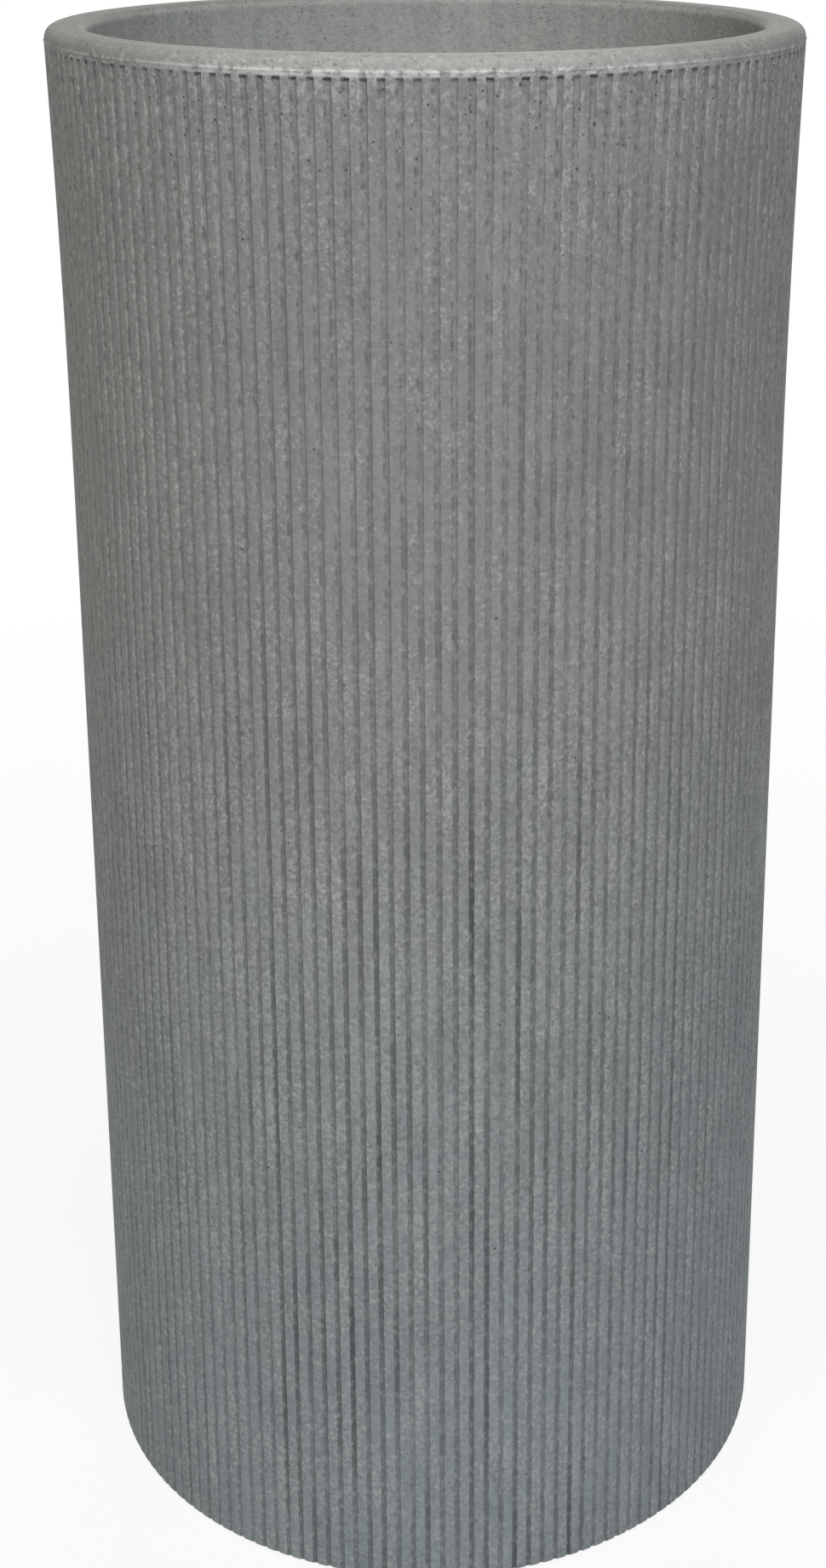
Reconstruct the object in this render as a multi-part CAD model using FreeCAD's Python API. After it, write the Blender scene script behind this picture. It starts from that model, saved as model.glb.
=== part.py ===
"""Tall ribbed flower pot with a lift-out planting liner, at its real size in millimetres.

The pot stands on z = 0 with its axis on Z. The moulded shell carries the liner on a ledge below its mouth.
The liner holds a root grid over a water reservoir, a wick basket, and a float that shows the water level.
"""

import FreeCAD
import Part

import math
import os

# Shell: overall form
POT_HEIGHT = 800.0
RIM_DIAMETER = 390.0
BASE_DIAMETER = 373.0  # across the rib crests, above the foot's chamfer
WALL = 5.0  # every moulded wall of the shell, under the grooves
FOOT_CHAMFER = 5.0
FLARE = 3.2  # how far the ribs swing out towards the rim
FLARE_HEIGHT = 220.0

# Shell: rim and mouth
RIM_WIDTH = 21.5
RIM_BAND = 9.5  # plain band above the grooves
RIM_STEP = 0.4  # the band stands this proud of the rib crests
RIM_OUTER_ROUND = 6.5
RIM_INNER_ROUND = 5.0
MOUTH_DEPTH = 40.0  # from the rim's top down to the liner's seat
SEAT_STEP = 1.5  # the seat is this much tighter than the mouth, and centres the liner
LEDGE_WIDTH = 11.0

# Shell: ribs and base
RIB_COUNT = 152
GROOVE_WIDTH = 3.0  # at the crests
GROOVE_FLOOR_WIDTH = 1.8
GROOVE_DEPTH = 1.8
STANDING_RING_WIDTH = 28.0
FLOOR_RISE = 9.0  # the floor's middle stands clear of the ground

# Drain plug
DRAIN_DIAMETER = 24.0
PLUG_CLEARANCE = 0.3
PLUG_FLANGE_WIDTH = 6.0
PLUG_FLANGE_THICKNESS = 3.0
SEAL_THICKNESS = 2.0
SEAL_WIDTH = 5.0
TAB_WIDTH = 22.0
TAB_THICKNESS = 6.0
TAB_HEIGHT = 16.0

# Planting liner
LINER_DEPTH = 330.0
LINER_WALL = 3.0
LINER_CLEARANCE = 1.0  # flange to seat
RESERVOIR_DEPTH = 60.0  # from the liner's floor to the grid
FLANGE_THICKNESS = 3.0
LUG_COUNT = 6  # ribs on the liner's floor that carry the grid
LUG_WIDTH = 4.0
LUG_REACH = 10.0  # inwards from the wall
OVERFLOW_SIZE = 8.0
OVERFLOW_DROP = 12.0  # from the grid down to the windows' middle
OVERFLOW_COUNT = 4

# Pull-up handles of the liner
HANDLE_HALF_ANGLE = 16.5  # degrees, from the handle's middle to a leg
GRIP_END = 4.0  # degrees of grip beyond each leg
GRIP_THICKNESS = 5.0
GRIP_SETBACK = 1.5  # from the flange's edge and from the liner's mouth
GRIP_CHAMFER = 1.2
FINGER_HALF_ANGLE = 9.0  # degrees, of the finger notch under the grip
FINGER_REACH = 9.0  # of the notch, under the grip
FINGER_DEPTH = 14.0
SEAT_HEADROOM = 1.0  # between the grip and the top of the seat
LEG_WIDTH = 13.0
LEG_THICKNESS = 3.0
LEG_LENGTH = 80.0
LEG_CLEARANCE = 0.8
LEG_GAP = 10.4  # between the legs and the liner's wall
LEG_FOOT_WIDTH = 19.0  # wider than the slot, so the handle can't pull out
LEG_FOOT_HEIGHT = 6.0

# Root grid
GRID_THICKNESS = 3.0
GRID_CLEARANCE = 1.0
SLOT_WIDTH = 5.0
SLOT_COUNT = 8  # in the inner row; each row further out has as many more
SLOT_ROWS = 2
SLOT_MARGIN = 9.0  # plain ring between the rows, inside the edge and round the basket

# Wick basket
BASKET_SIDES = 12
BASKET_RADIUS = 32.0  # to the corners
BASKET_WALL = 2.0
BASKET_FLANGE_WIDTH = 6.0
BASKET_FLANGE_THICKNESS = 2.0
BASKET_CLEARANCE = 1.0
BASKET_LIFT = 1.5  # its foot above the liner's floor
BASKET_SLOT_WIDTH = 4.0
BASKET_SLOT_MARGIN = 9.0  # below the grid and above the foot

# Water-level indicator
TUBE_WIDTH = 30.0
TUBE_DEPTH = 20.0
TUBE_CORNER = 4.0
TUBE_WALL = 2.0
TUBE_EDGE_GAP = 19.0  # between the tube and the grid's edge
TUBE_LIFT = 2.0  # its foot above the liner's floor
TUBE_LIP = 2.0  # inward lip that holds the float
TUBE_CLEARANCE = 0.5
COLLAR_WIDTH = 4.0
COLLAR_THICKNESS = 3.0
CAP_DROP = 1.0  # the cap's top below the liner's flange
CAP_SPIGOT = 6.0
CAP_SPIGOT_CLEARANCE = 0.1
FLOAT_TRAVEL = 36.0
FLOAT_LENGTH = 28.0
FLOAT_CLEARANCE = 1.0
ROD_WIDTH = 8.0
ROD_THICKNESS = 3.0
TIP_WIDTH = 16.0
TIP_THICKNESS = 8.0
TIP_LENGTH = 6.0
TIP_GAP = 3.0  # left over the tip at the top and under it at the bottom of its window

# Places that follow from the sizes above
X_AXIS = FreeCAD.Vector(1, 0, 0)
Z_AXIS = FreeCAD.Vector(0, 0, 1)
ORIGIN = FreeCAD.Vector(0, 0, 0)
OVERCUT = 1.0  # how far a cutting tool runs past a face
ROUND_CHORDS = 2

rim_radius = RIM_DIAMETER / 2
mouth_radius = rim_radius - RIM_WIDTH
seat_radius = mouth_radius - SEAT_STEP
ledge_radius = seat_radius - LEDGE_WIDTH
base_radius = BASE_DIAMETER / 2
groove_top = POT_HEIGHT - RIM_BAND
flare_start = groove_top - FLARE_HEIGHT
seat_top = POT_HEIGHT - MOUTH_DEPTH
ledge_top = seat_top - SEAT_HEADROOM - GRIP_THICKNESS - FLANGE_THICKNESS
floor_top = FLOOR_RISE + WALL
recess_radius = base_radius - FOOT_CHAMFER - STANDING_RING_WIDTH
drain_radius = DRAIN_DIAMETER / 2

flange_radius = seat_radius - LINER_CLEARANCE
flange_top = ledge_top + FLANGE_THICKNESS
leg_outer = ledge_radius - 2 * LEG_CLEARANCE
leg_inner = leg_outer - LEG_THICKNESS
liner_radius = leg_inner - LEG_GAP
bore_radius = liner_radius - LINER_WALL
liner_bottom = ledge_top - LINER_DEPTH
liner_floor = liner_bottom + LINER_WALL
grip_inner = bore_radius + GRIP_SETBACK
grid_bottom = liner_floor + RESERVOIR_DEPTH
grid_top = grid_bottom + GRID_THICKNESS
grid_radius = bore_radius - GRID_CLEARANCE

tube_y = grid_radius - TUBE_EDGE_GAP - TUBE_DEPTH / 2
tube_bottom = liner_floor + TUBE_LIFT
cap_top = flange_top - CAP_DROP
tip_window = FLOAT_TRAVEL + TIP_LENGTH + 2 * TIP_GAP
tube_top = cap_top - TUBE_WALL - tip_window
float_bottom = tube_bottom + TUBE_LIP


def turned(*points):
    """Solid of revolution about Z of a closed outline of (radius, height) points."""
    edges = []
    for start, end in zip(points, (*points[1:], points[0])):
        line = Part.LineSegment(in_section(start), in_section(end))
        sloping = start[0] != end[0] and start[1] != end[1]
        # A sloping line turned as a spline gives a wall with far fewer facets than a cone has
        edges.append((line.toBSpline() if sloping else line).toShape())
    return Part.Face(Part.Wire(edges)).revolve(ORIGIN, Z_AXIS, 360)


def in_section(point):
    radius, height = point
    return FreeCAD.Vector(radius, 0, height)


def rounded(centre, radius, first_degrees, last_degrees):
    """Points of a rounded edge in a (radius, height) outline, as chords of an arc."""
    points = []
    for step in range(ROUND_CHORDS + 1):
        turn = math.radians(first_degrees + (last_degrees - first_degrees) * step / ROUND_CHORDS)
        points.append((centre[0] + radius * math.cos(turn), centre[1] + radius * math.sin(turn)))
    return points


def disc(radius, bottom, top):
    return Part.makeCylinder(radius, top - bottom, FreeCAD.Vector(0, 0, bottom))


def ring_sector(inner, outer, bottom, top, from_degrees, to_degrees):
    corners = [in_section(point) for point in ((inner, bottom), (outer, bottom), (outer, top), (inner, top))]
    face = Part.Face(Part.makePolygon([*corners, corners[0]]))
    face.rotate(ORIGIN, Z_AXIS, from_degrees)
    return face.revolve(ORIGIN, Z_AXIS, to_degrees - from_degrees)


def radial_box(inner, outer, width, bottom, top, degrees):
    """Upright box across a radius, centred on the direction given."""
    corner = FreeCAD.Vector(inner, -width / 2, bottom)
    box = Part.makeBox(outer - inner, width, top - bottom, corner)
    box.rotate(ORIGIN, Z_AXIS, degrees)
    return box


def tube_block(inset, bottom, top):
    """Upright block with cut corners on the indicator's axis, inset from the tube's outline."""
    half_width = TUBE_WIDTH / 2 - inset
    half_depth = TUBE_DEPTH / 2 - inset
    cut = max(TUBE_CORNER - inset, TUBE_CORNER / 2)
    corners = []
    for side_x, side_y, first_along_x in ((1, -1, True), (1, 1, False), (-1, 1, True), (-1, -1, False)):
        along_x = FreeCAD.Vector(side_x * (half_width - cut), tube_y + side_y * half_depth, bottom)
        along_y = FreeCAD.Vector(side_x * half_width, tube_y + side_y * (half_depth - cut), bottom)
        corners += [along_x, along_y] if first_along_x else [along_y, along_x]
    return Part.Face(Part.makePolygon([*corners, corners[0]])).extrude(Z_AXIS * (top - bottom))


def centred_block(width, depth, bottom, top):
    """Upright block on the indicator's axis."""
    return Part.makeBox(width, depth, top - bottom, FreeCAD.Vector(-width / 2, tube_y - depth / 2, bottom))


def crest_radius(height):
    """Radius of the rib crests: a straight draft that flares out towards the rim band."""
    top_radius = rim_radius - RIM_STEP
    draft = base_radius + (top_radius - FLARE - base_radius) * height / groove_top
    return draft + FLARE * max(0.0, (height - flare_start) / FLARE_HEIGHT)


def inside_radius(height):
    return crest_radius(height) - GROOVE_DEPTH - WALL


def rib_section(radius, height):
    """Closed outline across the ribs: each groove has two crest corners and two floor corners."""
    corners = []
    for index in range(RIB_COUNT):
        angle = 2 * math.pi * (index + 0.5) / RIB_COUNT
        out = FreeCAD.Vector(math.cos(angle), math.sin(angle), 0)
        along = FreeCAD.Vector(-math.sin(angle), math.cos(angle), 0)
        crest = out * radius + Z_AXIS * height
        floor = crest - out * GROOVE_DEPTH
        corners += [
            crest - along * (GROOVE_WIDTH / 2),
            floor - along * (GROOVE_FLOOR_WIDTH / 2),
            floor + along * (GROOVE_FLOOR_WIDTH / 2),
            crest + along * (GROOVE_WIDTH / 2),
        ]
    return Part.makePolygon([*corners, corners[0]])


def ribbed_body():
    """Solid body with the grooves from the foot's chamfer up to the rim band."""
    sections = [rib_section(crest_radius(FOOT_CHAMFER) - FOOT_CHAMFER, 0)]
    for height in (FOOT_CHAMFER, flare_start, groove_top):
        sections.append(rib_section(crest_radius(height), height))
    return Part.makeLoft(sections, True, True)


def rim_band():
    """Plain ring above the grooves, with the rim's outer edge rounded."""
    edge = min(RIM_OUTER_ROUND, 0.9 * RIM_BAND)
    return turned(
        (ledge_radius, groove_top),
        (rim_radius, groove_top),
        *rounded((rim_radius - edge, POT_HEIGHT - edge), edge, 0, 90),
        (ledge_radius, POT_HEIGHT),
    )


def shell_cavity():
    """The space inside the shell: chamber, hollow behind the lip, hole in the ledge, seat and mouth."""
    slope_shift = WALL * math.tan(math.pi / 8)  # keeps the sloping floor as thick as the rest
    corner = WALL + FOOT_CHAMFER
    hollow_top = POT_HEIGHT - WALL
    lip_back = mouth_radius + WALL
    return turned(
        (0, floor_top),
        (recess_radius - FLOOR_RISE + slope_shift, floor_top),
        (recess_radius + slope_shift, WALL),
        (inside_radius(corner) - FOOT_CHAMFER, WALL),
        (inside_radius(corner), corner),
        (inside_radius(flare_start), flare_start),
        (inside_radius(groove_top), hollow_top),
        (lip_back, hollow_top),
        (lip_back, ledge_top - WALL),
        (ledge_radius, ledge_top - WALL),
        (ledge_radius, ledge_top),
        (seat_radius, ledge_top),
        (seat_radius, seat_top),
        (mouth_radius, seat_top),
        *rounded((mouth_radius + RIM_INNER_ROUND, POT_HEIGHT - RIM_INNER_ROUND), RIM_INNER_ROUND, 180, 90),
        (mouth_radius + RIM_INNER_ROUND, POT_HEIGHT + OVERCUT),
        (0, POT_HEIGHT + OVERCUT),
    )


def pot_shell():
    """One hollow moulding: ribbed wall, turned-in rim, lip with the liner's ledge, and raised floor."""
    recess = turned(
        (0, -OVERCUT),
        (recess_radius + OVERCUT, -OVERCUT),
        (recess_radius - FLOOR_RISE, FLOOR_RISE),
        (0, FLOOR_RISE),
    )
    drain = disc(drain_radius, 0, floor_top + OVERCUT)
    return ribbed_body().fuse(rim_band()).cut([shell_cavity(), recess, drain])


def drain_seal():
    """Rubber washer between the plug's flange and the floor."""
    seal_top = floor_top + SEAL_THICKNESS
    hole = disc(drain_radius, floor_top, seal_top)
    return disc(drain_radius + SEAL_WIDTH, floor_top, seal_top).cut(hole)


def drain_plug():
    """Push-in plug with a flange on the seal and a tab to pull it up by."""
    flange_bottom = floor_top + SEAL_THICKNESS
    plug_top = flange_bottom + PLUG_FLANGE_THICKNESS
    stem = disc(drain_radius - PLUG_CLEARANCE, FLOOR_RISE, plug_top)
    flange = disc(drain_radius + PLUG_FLANGE_WIDTH, flange_bottom, plug_top)
    tab_round = TAB_WIDTH / 2
    tab_root = plug_top - PLUG_FLANGE_THICKNESS / 2
    head_height = max(plug_top + TAB_HEIGHT - tab_round, tab_root)
    head_place = FreeCAD.Vector(0, TAB_THICKNESS / 2, head_height)
    head = Part.makeCylinder(tab_round, TAB_THICKNESS, head_place, FreeCAD.Vector(0, -1, 0))
    post_corner = FreeCAD.Vector(-tab_round, -TAB_THICKNESS / 2, tab_root)
    post = Part.makeBox(TAB_WIDTH, TAB_THICKNESS, plug_top + TAB_HEIGHT - tab_root, post_corner)
    blank = Part.makeBox(TAB_WIDTH, TAB_THICKNESS, head_height - tab_root + OVERCUT / 2, post_corner)
    tab = blank.fuse(head.common(post))
    return stem.fuse(flange).fuse(tab).removeSplitter()


def liner_pot():
    """Straight liner that hangs from the ledge by its flange, with lugs for the grid above its reservoir."""
    body = turned(
        (0, liner_bottom),
        (liner_radius, liner_bottom),
        (liner_radius, ledge_top),
        (flange_radius, ledge_top),
        (flange_radius, flange_top),
        (bore_radius, flange_top),
        (bore_radius, liner_floor),
        (0, liner_floor),
    )
    lugs = [grid_lug(360 * (index + 0.5) / LUG_COUNT) for index in range(LUG_COUNT)]
    cuts = [overflow_window(360 * (index + 0.5) / OVERFLOW_COUNT) for index in range(OVERFLOW_COUNT)]
    cuts += [leg_slot(side + leg) for side in (0, 180) for leg in leg_angles()]
    cuts += [finger_notch(side) for side in (0, 180)]
    return body.fuse(lugs).cut(cuts)


def grid_lug(degrees):
    sunk = LINER_WALL / 2
    return radial_box(
        bore_radius - LUG_REACH, bore_radius + sunk, LUG_WIDTH, liner_floor - sunk, grid_bottom, degrees
    )


def overflow_window(degrees):
    """Cutter for a window in the wall just under the grid, which sets the highest water level."""
    middle = grid_bottom - OVERFLOW_DROP
    half = OVERFLOW_SIZE / 2
    return radial_box(
        bore_radius - OVERCUT, liner_radius + OVERCUT, OVERFLOW_SIZE, middle - half, middle + half, degrees
    )


def finger_notch(side_degrees):
    """Cutter that opens the flange and the wall's top under a grip, for the fingers."""
    return ring_sector(
        bore_radius - OVERCUT,
        grip_inner + FINGER_REACH,
        flange_top - FINGER_DEPTH,
        flange_top + OVERCUT,
        side_degrees - FINGER_HALF_ANGLE,
        side_degrees + FINGER_HALF_ANGLE,
    )


def leg_angles():
    return -HANDLE_HALF_ANGLE, HANDLE_HALF_ANGLE


def leg_slot(degrees):
    """Cutter for the flange's slot that guides one leg of a handle."""
    return radial_box(
        leg_inner - LEG_CLEARANCE / 2,
        leg_outer + LEG_CLEARANCE / 2,
        LEG_WIDTH + LEG_CLEARANCE,
        ledge_top - OVERCUT,
        flange_top + OVERCUT,
        degrees,
    )


def liner_handle(side_degrees):
    """Pull-up handle: a curved grip on the flange with two flat legs that slide in its slots."""
    reach = HANDLE_HALF_ANGLE + GRIP_END
    grip_top = flange_top + GRIP_THICKNESS
    outer = flange_radius - GRIP_SETBACK
    grip = ring_sector(grip_inner, outer, flange_top, grip_top, side_degrees - reach, side_degrees + reach)
    upper_edges = [edge for edge in grip.Edges if edge.BoundBox.ZMin > grip_top - GRIP_THICKNESS / 2]
    handle = grip.makeChamfer(GRIP_CHAMFER, upper_edges)
    foot = flange_top - LEG_LENGTH
    for leg in leg_angles():
        degrees = side_degrees + leg
        handle = handle.fuse(
            [
                radial_box(leg_inner, leg_outer, LEG_WIDTH, foot, flange_top + GRIP_THICKNESS / 2, degrees),
                radial_box(leg_inner, leg_outer, LEG_FOOT_WIDTH, foot, foot + LEG_FOOT_HEIGHT, degrees),
            ]
        )
    return handle.removeSplitter()


def root_grid():
    """Slotted floor under the soil, on the liner's lugs, with holes for the basket and the tube."""
    grid = disc(grid_radius, grid_bottom, grid_top)
    low, high = grid_bottom - OVERCUT, grid_top + OVERCUT
    basket_hole = many_sided(BASKET_RADIUS + BASKET_CLEARANCE, low, high)
    tube_hole = tube_block(-TUBE_CLEARANCE, low, high)
    return grid.cut([basket_hole, tube_hole, *grid_slots(low, high)])


def grid_slots(low, high):
    """Radial slots in rows, left out where the tube stands."""
    inner = BASKET_RADIUS + BASKET_FLANGE_WIDTH + SLOT_MARGIN
    outer = grid_radius - SLOT_MARGIN
    step = (outer - inner + SLOT_MARGIN) / SLOT_ROWS
    keep_out = tube_block(-COLLAR_WIDTH - SLOT_WIDTH, low, high)
    slots = []
    for row in range(SLOT_ROWS):
        start = inner + row * step
        count = SLOT_COUNT * (row + 1)
        for index in range(count):
            slot = radial_box(start, start + step - SLOT_MARGIN, SLOT_WIDTH, low, high, 360 * index / count)
            if slot.distToShape(keep_out)[0] > 0:
                slots.append(slot)
    return slots


def many_sided(radius, bottom, top):
    """Upright prism with the basket's number of sides and the radius given at its corners."""
    turns = [2 * math.pi * (side + 0.5) / BASKET_SIDES for side in range(BASKET_SIDES)]
    corners = [FreeCAD.Vector(radius * math.cos(turn), radius * math.sin(turn), bottom) for turn in turns]
    return Part.Face(Part.makePolygon([*corners, corners[0]])).extrude(Z_AXIS * (top - bottom))


def wick_basket():
    """Slotted basket of soil that reaches into the reservoir and hangs in the grid by its flange."""
    bottom = liner_floor + BASKET_LIFT
    lip_radius = BASKET_RADIUS + BASKET_FLANGE_WIDTH
    lip_top = grid_top + BASKET_FLANGE_THICKNESS
    outside = many_sided(BASKET_RADIUS, bottom, grid_top)
    lip = many_sided(lip_radius, grid_top, lip_top)
    inside = many_sided(BASKET_RADIUS - BASKET_WALL, bottom + BASKET_WALL, lip_top)
    low, high = bottom + BASKET_SLOT_MARGIN, grid_bottom - BASKET_SLOT_MARGIN
    slots = [
        radial_box(BASKET_RADIUS / 2, lip_radius, BASKET_SLOT_WIDTH, low, high, 360 * side / BASKET_SIDES)
        for side in range(BASKET_SIDES)
    ]
    return outside.fuse(lip).cut([inside, *slots])


def indicator_tube():
    """Tube through the grid with a collar that rests on it and a lip at its foot that holds the float."""
    tube = tube_block(0, tube_bottom, tube_top)
    collar = tube_block(-COLLAR_WIDTH, grid_top, grid_top + COLLAR_THICKNESS)
    bore = tube_block(TUBE_WALL, float_bottom, tube_top + OVERCUT)
    inlet = tube_block(TUBE_WALL + TUBE_LIP, tube_bottom - OVERCUT, float_bottom + OVERCUT)
    return tube.fuse(collar).cut([bore, inlet])


def indicator_cap():
    """Clear closed cap on the tube's end, held by a spigot, through which the rod's tip shows."""
    spigot_inset = TUBE_WALL + CAP_SPIGOT_CLEARANCE
    cap = tube_block(0, tube_top, cap_top)
    spigot = tube_block(spigot_inset, tube_top - CAP_SPIGOT, tube_top + OVERCUT)
    hollow = tube_block(spigot_inset + TUBE_WALL, tube_top - CAP_SPIGOT - OVERCUT, cap_top - TUBE_WALL)
    return cap.fuse(spigot).cut(hollow)


def indicator_float():
    """Hollow float, shown as one closed body, at rest on the tube's lip."""
    return tube_block(TUBE_WALL + FLOAT_CLEARANCE, float_bottom, float_bottom + FLOAT_LENGTH)


def indicator_rod():
    """Flat rod on the float, with a coloured tip in the cap's window."""
    tip_bottom = tube_top + TIP_GAP
    rod = centred_block(ROD_WIDTH, ROD_THICKNESS, float_bottom + FLOAT_LENGTH, tip_bottom + TIP_LENGTH / 2)
    tip = centred_block(TIP_WIDTH, TIP_THICKNESS, tip_bottom, tip_bottom + TIP_LENGTH)
    return rod.fuse(tip)


def main():
    pieces = {
        "pot_shell": pot_shell(),
        "drain_plug": drain_plug(),
        "drain_seal": drain_seal(),
        "liner_pot": liner_pot(),
        "liner_handle_right": liner_handle(0),
        "liner_handle_left": liner_handle(180),
        "root_grid": root_grid(),
        "wick_basket": wick_basket(),
        "indicator_tube": indicator_tube(),
        "indicator_cap": indicator_cap(),
        "indicator_float": indicator_float(),
        "indicator_rod": indicator_rod(),
    }
    os.makedirs("parts", exist_ok=True)
    for name, shape in pieces.items():
        print(name, "solids", len(shape.Solids), "faces", len(shape.Faces), "valid", shape.isValid())
        shape.exportStep(os.path.join("parts", name + ".step"))


main()
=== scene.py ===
"""Tall ribbed planter in stone-look plastic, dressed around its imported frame, in metres."""

import math
import random

import bmesh
import bpy
from mathutils import Matrix, Vector


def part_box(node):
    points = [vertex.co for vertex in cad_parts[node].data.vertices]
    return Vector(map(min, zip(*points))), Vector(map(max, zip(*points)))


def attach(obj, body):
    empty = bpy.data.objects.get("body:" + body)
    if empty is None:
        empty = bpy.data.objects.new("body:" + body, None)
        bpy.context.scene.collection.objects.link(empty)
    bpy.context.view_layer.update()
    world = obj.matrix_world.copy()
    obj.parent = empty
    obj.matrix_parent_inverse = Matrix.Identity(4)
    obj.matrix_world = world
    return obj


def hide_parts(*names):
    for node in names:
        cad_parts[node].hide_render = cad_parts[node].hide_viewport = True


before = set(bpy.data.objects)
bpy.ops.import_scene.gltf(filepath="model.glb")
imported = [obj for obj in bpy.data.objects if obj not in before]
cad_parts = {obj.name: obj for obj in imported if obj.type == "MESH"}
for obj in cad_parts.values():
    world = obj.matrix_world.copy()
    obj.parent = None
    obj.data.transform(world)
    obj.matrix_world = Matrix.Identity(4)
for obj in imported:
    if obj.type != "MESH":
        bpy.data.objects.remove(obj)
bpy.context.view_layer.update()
chance = random.Random(152)

# Sizes of the shell, as in the part's source
MM = 0.001
SAME_POINT = MM / 100  # points closer than this are one
NEARBY = MM / 10
shell_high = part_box("pot_shell")[1]
POT_TOP = shell_high.z
RIM_RADIUS = shell_high.x
BASE_RADIUS = 186.5 * MM
FOOT_ROUND = 5 * MM
WALL = 5 * MM
FLARE = 3.2 * MM
FLARE_HEIGHT = 220 * MM
RIM_WIDTH = 21.5 * MM
RIM_BAND = 9.5 * MM
RIM_STEP = 0.4 * MM
RIM_OUTER_ROUND = 6 * MM
RIM_INNER_ROUND = 5 * MM
MOUTH_DEPTH = 40 * MM
SEAT_STEP = 1.5 * MM
LEDGE_WIDTH = 11 * MM
LEDGE_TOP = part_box("liner_pot")[1].z - 3 * MM
STANDING_RING = 28 * MM
FLOOR_RISE = 9 * MM
DRAIN_RADIUS = 12 * MM

# Ribs
RIB_COUNT = 152
RIB_PITCH = 2 * math.pi / RIB_COUNT  # radians
GROOVE_WIDTH = 3.2 * MM
GROOVE_FLOOR = 2.2 * MM
GROOVE_DEPTH = 0.9 * MM
GROOVE_SHALLOW_SIDE = 0.6 * MM  # a groove's floor slopes up towards one side
GROOVE_ROUND = 0.3 * MM
GROOVE_WIDENING = 0.45 * MM  # each side of a groove, at the rim
GROOVE_END_DEPTH = 0.8  # share of the depth that a groove has left at the rim
GROOVE_END_DROP = 0.35 * MM  # how far short of the rim a groove may end
WIDENING_HEIGHT = 130 * MM
GROOVE_UNEVENNESS = 0.22  # share of a groove's depth
WALL_STEPS = 14
FLARE_STEPS = 8
INSIDE_FLARE_STEPS = 3
FOOT_STEPS = 4
FOOT_TURN = math.radians(65)  # of the rounding, down to a narrow slope that ends on the ground

# Parting ridge of the mould, round the rim band
RIDGE_DROP = 7.1 * MM
RIDGE_HEIGHT = 0.5 * MM
RIDGE_HALF_WIDTH = 0.9 * MM

ROUND_STEPS = 304  # of a full turn
LINER_STEPS = 144
PLUG_STEPS = 72
SHARP_ANGLE = math.radians(38)

GROOVE_TOP = POT_TOP - RIM_BAND
FLARE_START = GROOVE_TOP - FLARE_HEIGHT
MOUTH_RADIUS = RIM_RADIUS - RIM_WIDTH
SEAT_RADIUS = MOUTH_RADIUS - SEAT_STEP
LEDGE_RADIUS = SEAT_RADIUS - LEDGE_WIDTH

# Drain plug and its seal
PLUG_CLEARANCE = 0.3 * MM
PLUG_FLANGE_RADIUS = 18 * MM
PLUG_FLANGE = 3 * MM
PLUG_HOLLOW = 1.5 * MM
SEAL_RADIUS = 17 * MM
TAB_WIDTH = 22 * MM
TAB_THICKNESS = 6 * MM
TAB_GROOVES = (4.5 * MM, 7.5 * MM, 10.5 * MM)  # down from the top
TAB_GROOVE_DEPTH = 0.6 * MM
TAB_GROOVE_HALF_WIDTH = 0.7 * MM

# Liner
LINER_RADIUS = 146 * MM
BORE_RADIUS = 143 * MM
LINER_WALL = 3 * MM
LINER_FOOT_RADIUS = 120 * MM  # inside it the floor stands clear
LINER_FOOT = 1.2 * MM
BEAD_HEIGHTS = (500 * MM, 590 * MM, 680 * MM)
BEAD_REACH = 1.4 * MM
BEAD_HALF_HEIGHT = 4 * MM
LUG_COUNT = 6
LUG_WIDTH = 4 * MM
LUG_REACH = 10 * MM
OVERFLOW_COUNT = 4
OVERFLOW_SIZE = 8 * MM
OVERFLOW_DROP = 12 * MM
CUT_PAST = 1 * MM  # how far a cutter reaches past what it cuts

# Handles of the liner
HANDLE_HALF_ANGLE = 16.5  # degrees
GRIP_HALF_ANGLE = 20.5
GRIP_INNER = 144.5 * MM
GRIP_OUTER = 169.5 * MM
GRIP_THICKNESS = 5 * MM
GRIP_GROOVES = 9
GRIP_GROOVE_STEP = 2  # degrees
GRIP_GROOVE_HALF_LENGTH = 8 * MM
GRIP_GROOVE_WIDTH = 2.4 * MM
GRIP_GROOVE_DEPTH = 0.7 * MM
FINGER_HALF_ANGLE = 9.0
FINGER_RADIUS = 153.5 * MM
FINGER_DEPTH = 14 * MM
LEG_INNER = 156.4 * MM
LEG_OUTER = 159.4 * MM
LEG_WIDTH = 13 * MM
LEG_CLEARANCE = 0.8 * MM
LEG_FOOT_WIDTH = 19 * MM
LEG_FOOT_HEIGHT = 6 * MM

# Root grid and wick basket
SLOT_WIDTH = 5 * MM
SLOT_ROWS = ((8, 47 * MM, 85.5 * MM), (16, 94.5 * MM, 133 * MM))  # slots, from radius, to radius
TUBE_DIRECTION = 90.0  # degrees; no slot of the outer row there
GRID_LIP = 1.4 * MM
GRID_BEAD = 1 * MM
BASKET_SIDES = 12
BASKET_RADIUS = 32 * MM
BASKET_WALL = 2 * MM
BASKET_LIP = 6 * MM
BASKET_CLEARANCE = 1 * MM
BASKET_SLOT_WIDTH = 4 * MM
BASKET_SLOT_MARGIN = 9 * MM
BASKET_SHARP_ANGLE = math.radians(25)

# Water-level indicator
TUBE_WALL = 2 * MM
TUBE_LIP = 2 * MM
TUBE_CORNER = 4 * MM
TUBE_CLEARANCE = 0.5 * MM
COLLAR_WIDTH = 4 * MM
COLLAR_THICKNESS = 3 * MM
CAP_SPIGOT_INSET = 2.1 * MM
FLOAT_INSET = 3 * MM
SEAM_INSET = FLOAT_INSET + 0.5 * MM
ROD_HALF_WIDTH = 4 * MM
ROD_HALF_THICKNESS = 1.5 * MM
TIP_LENGTH = 6 * MM


# Meshes


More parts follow.
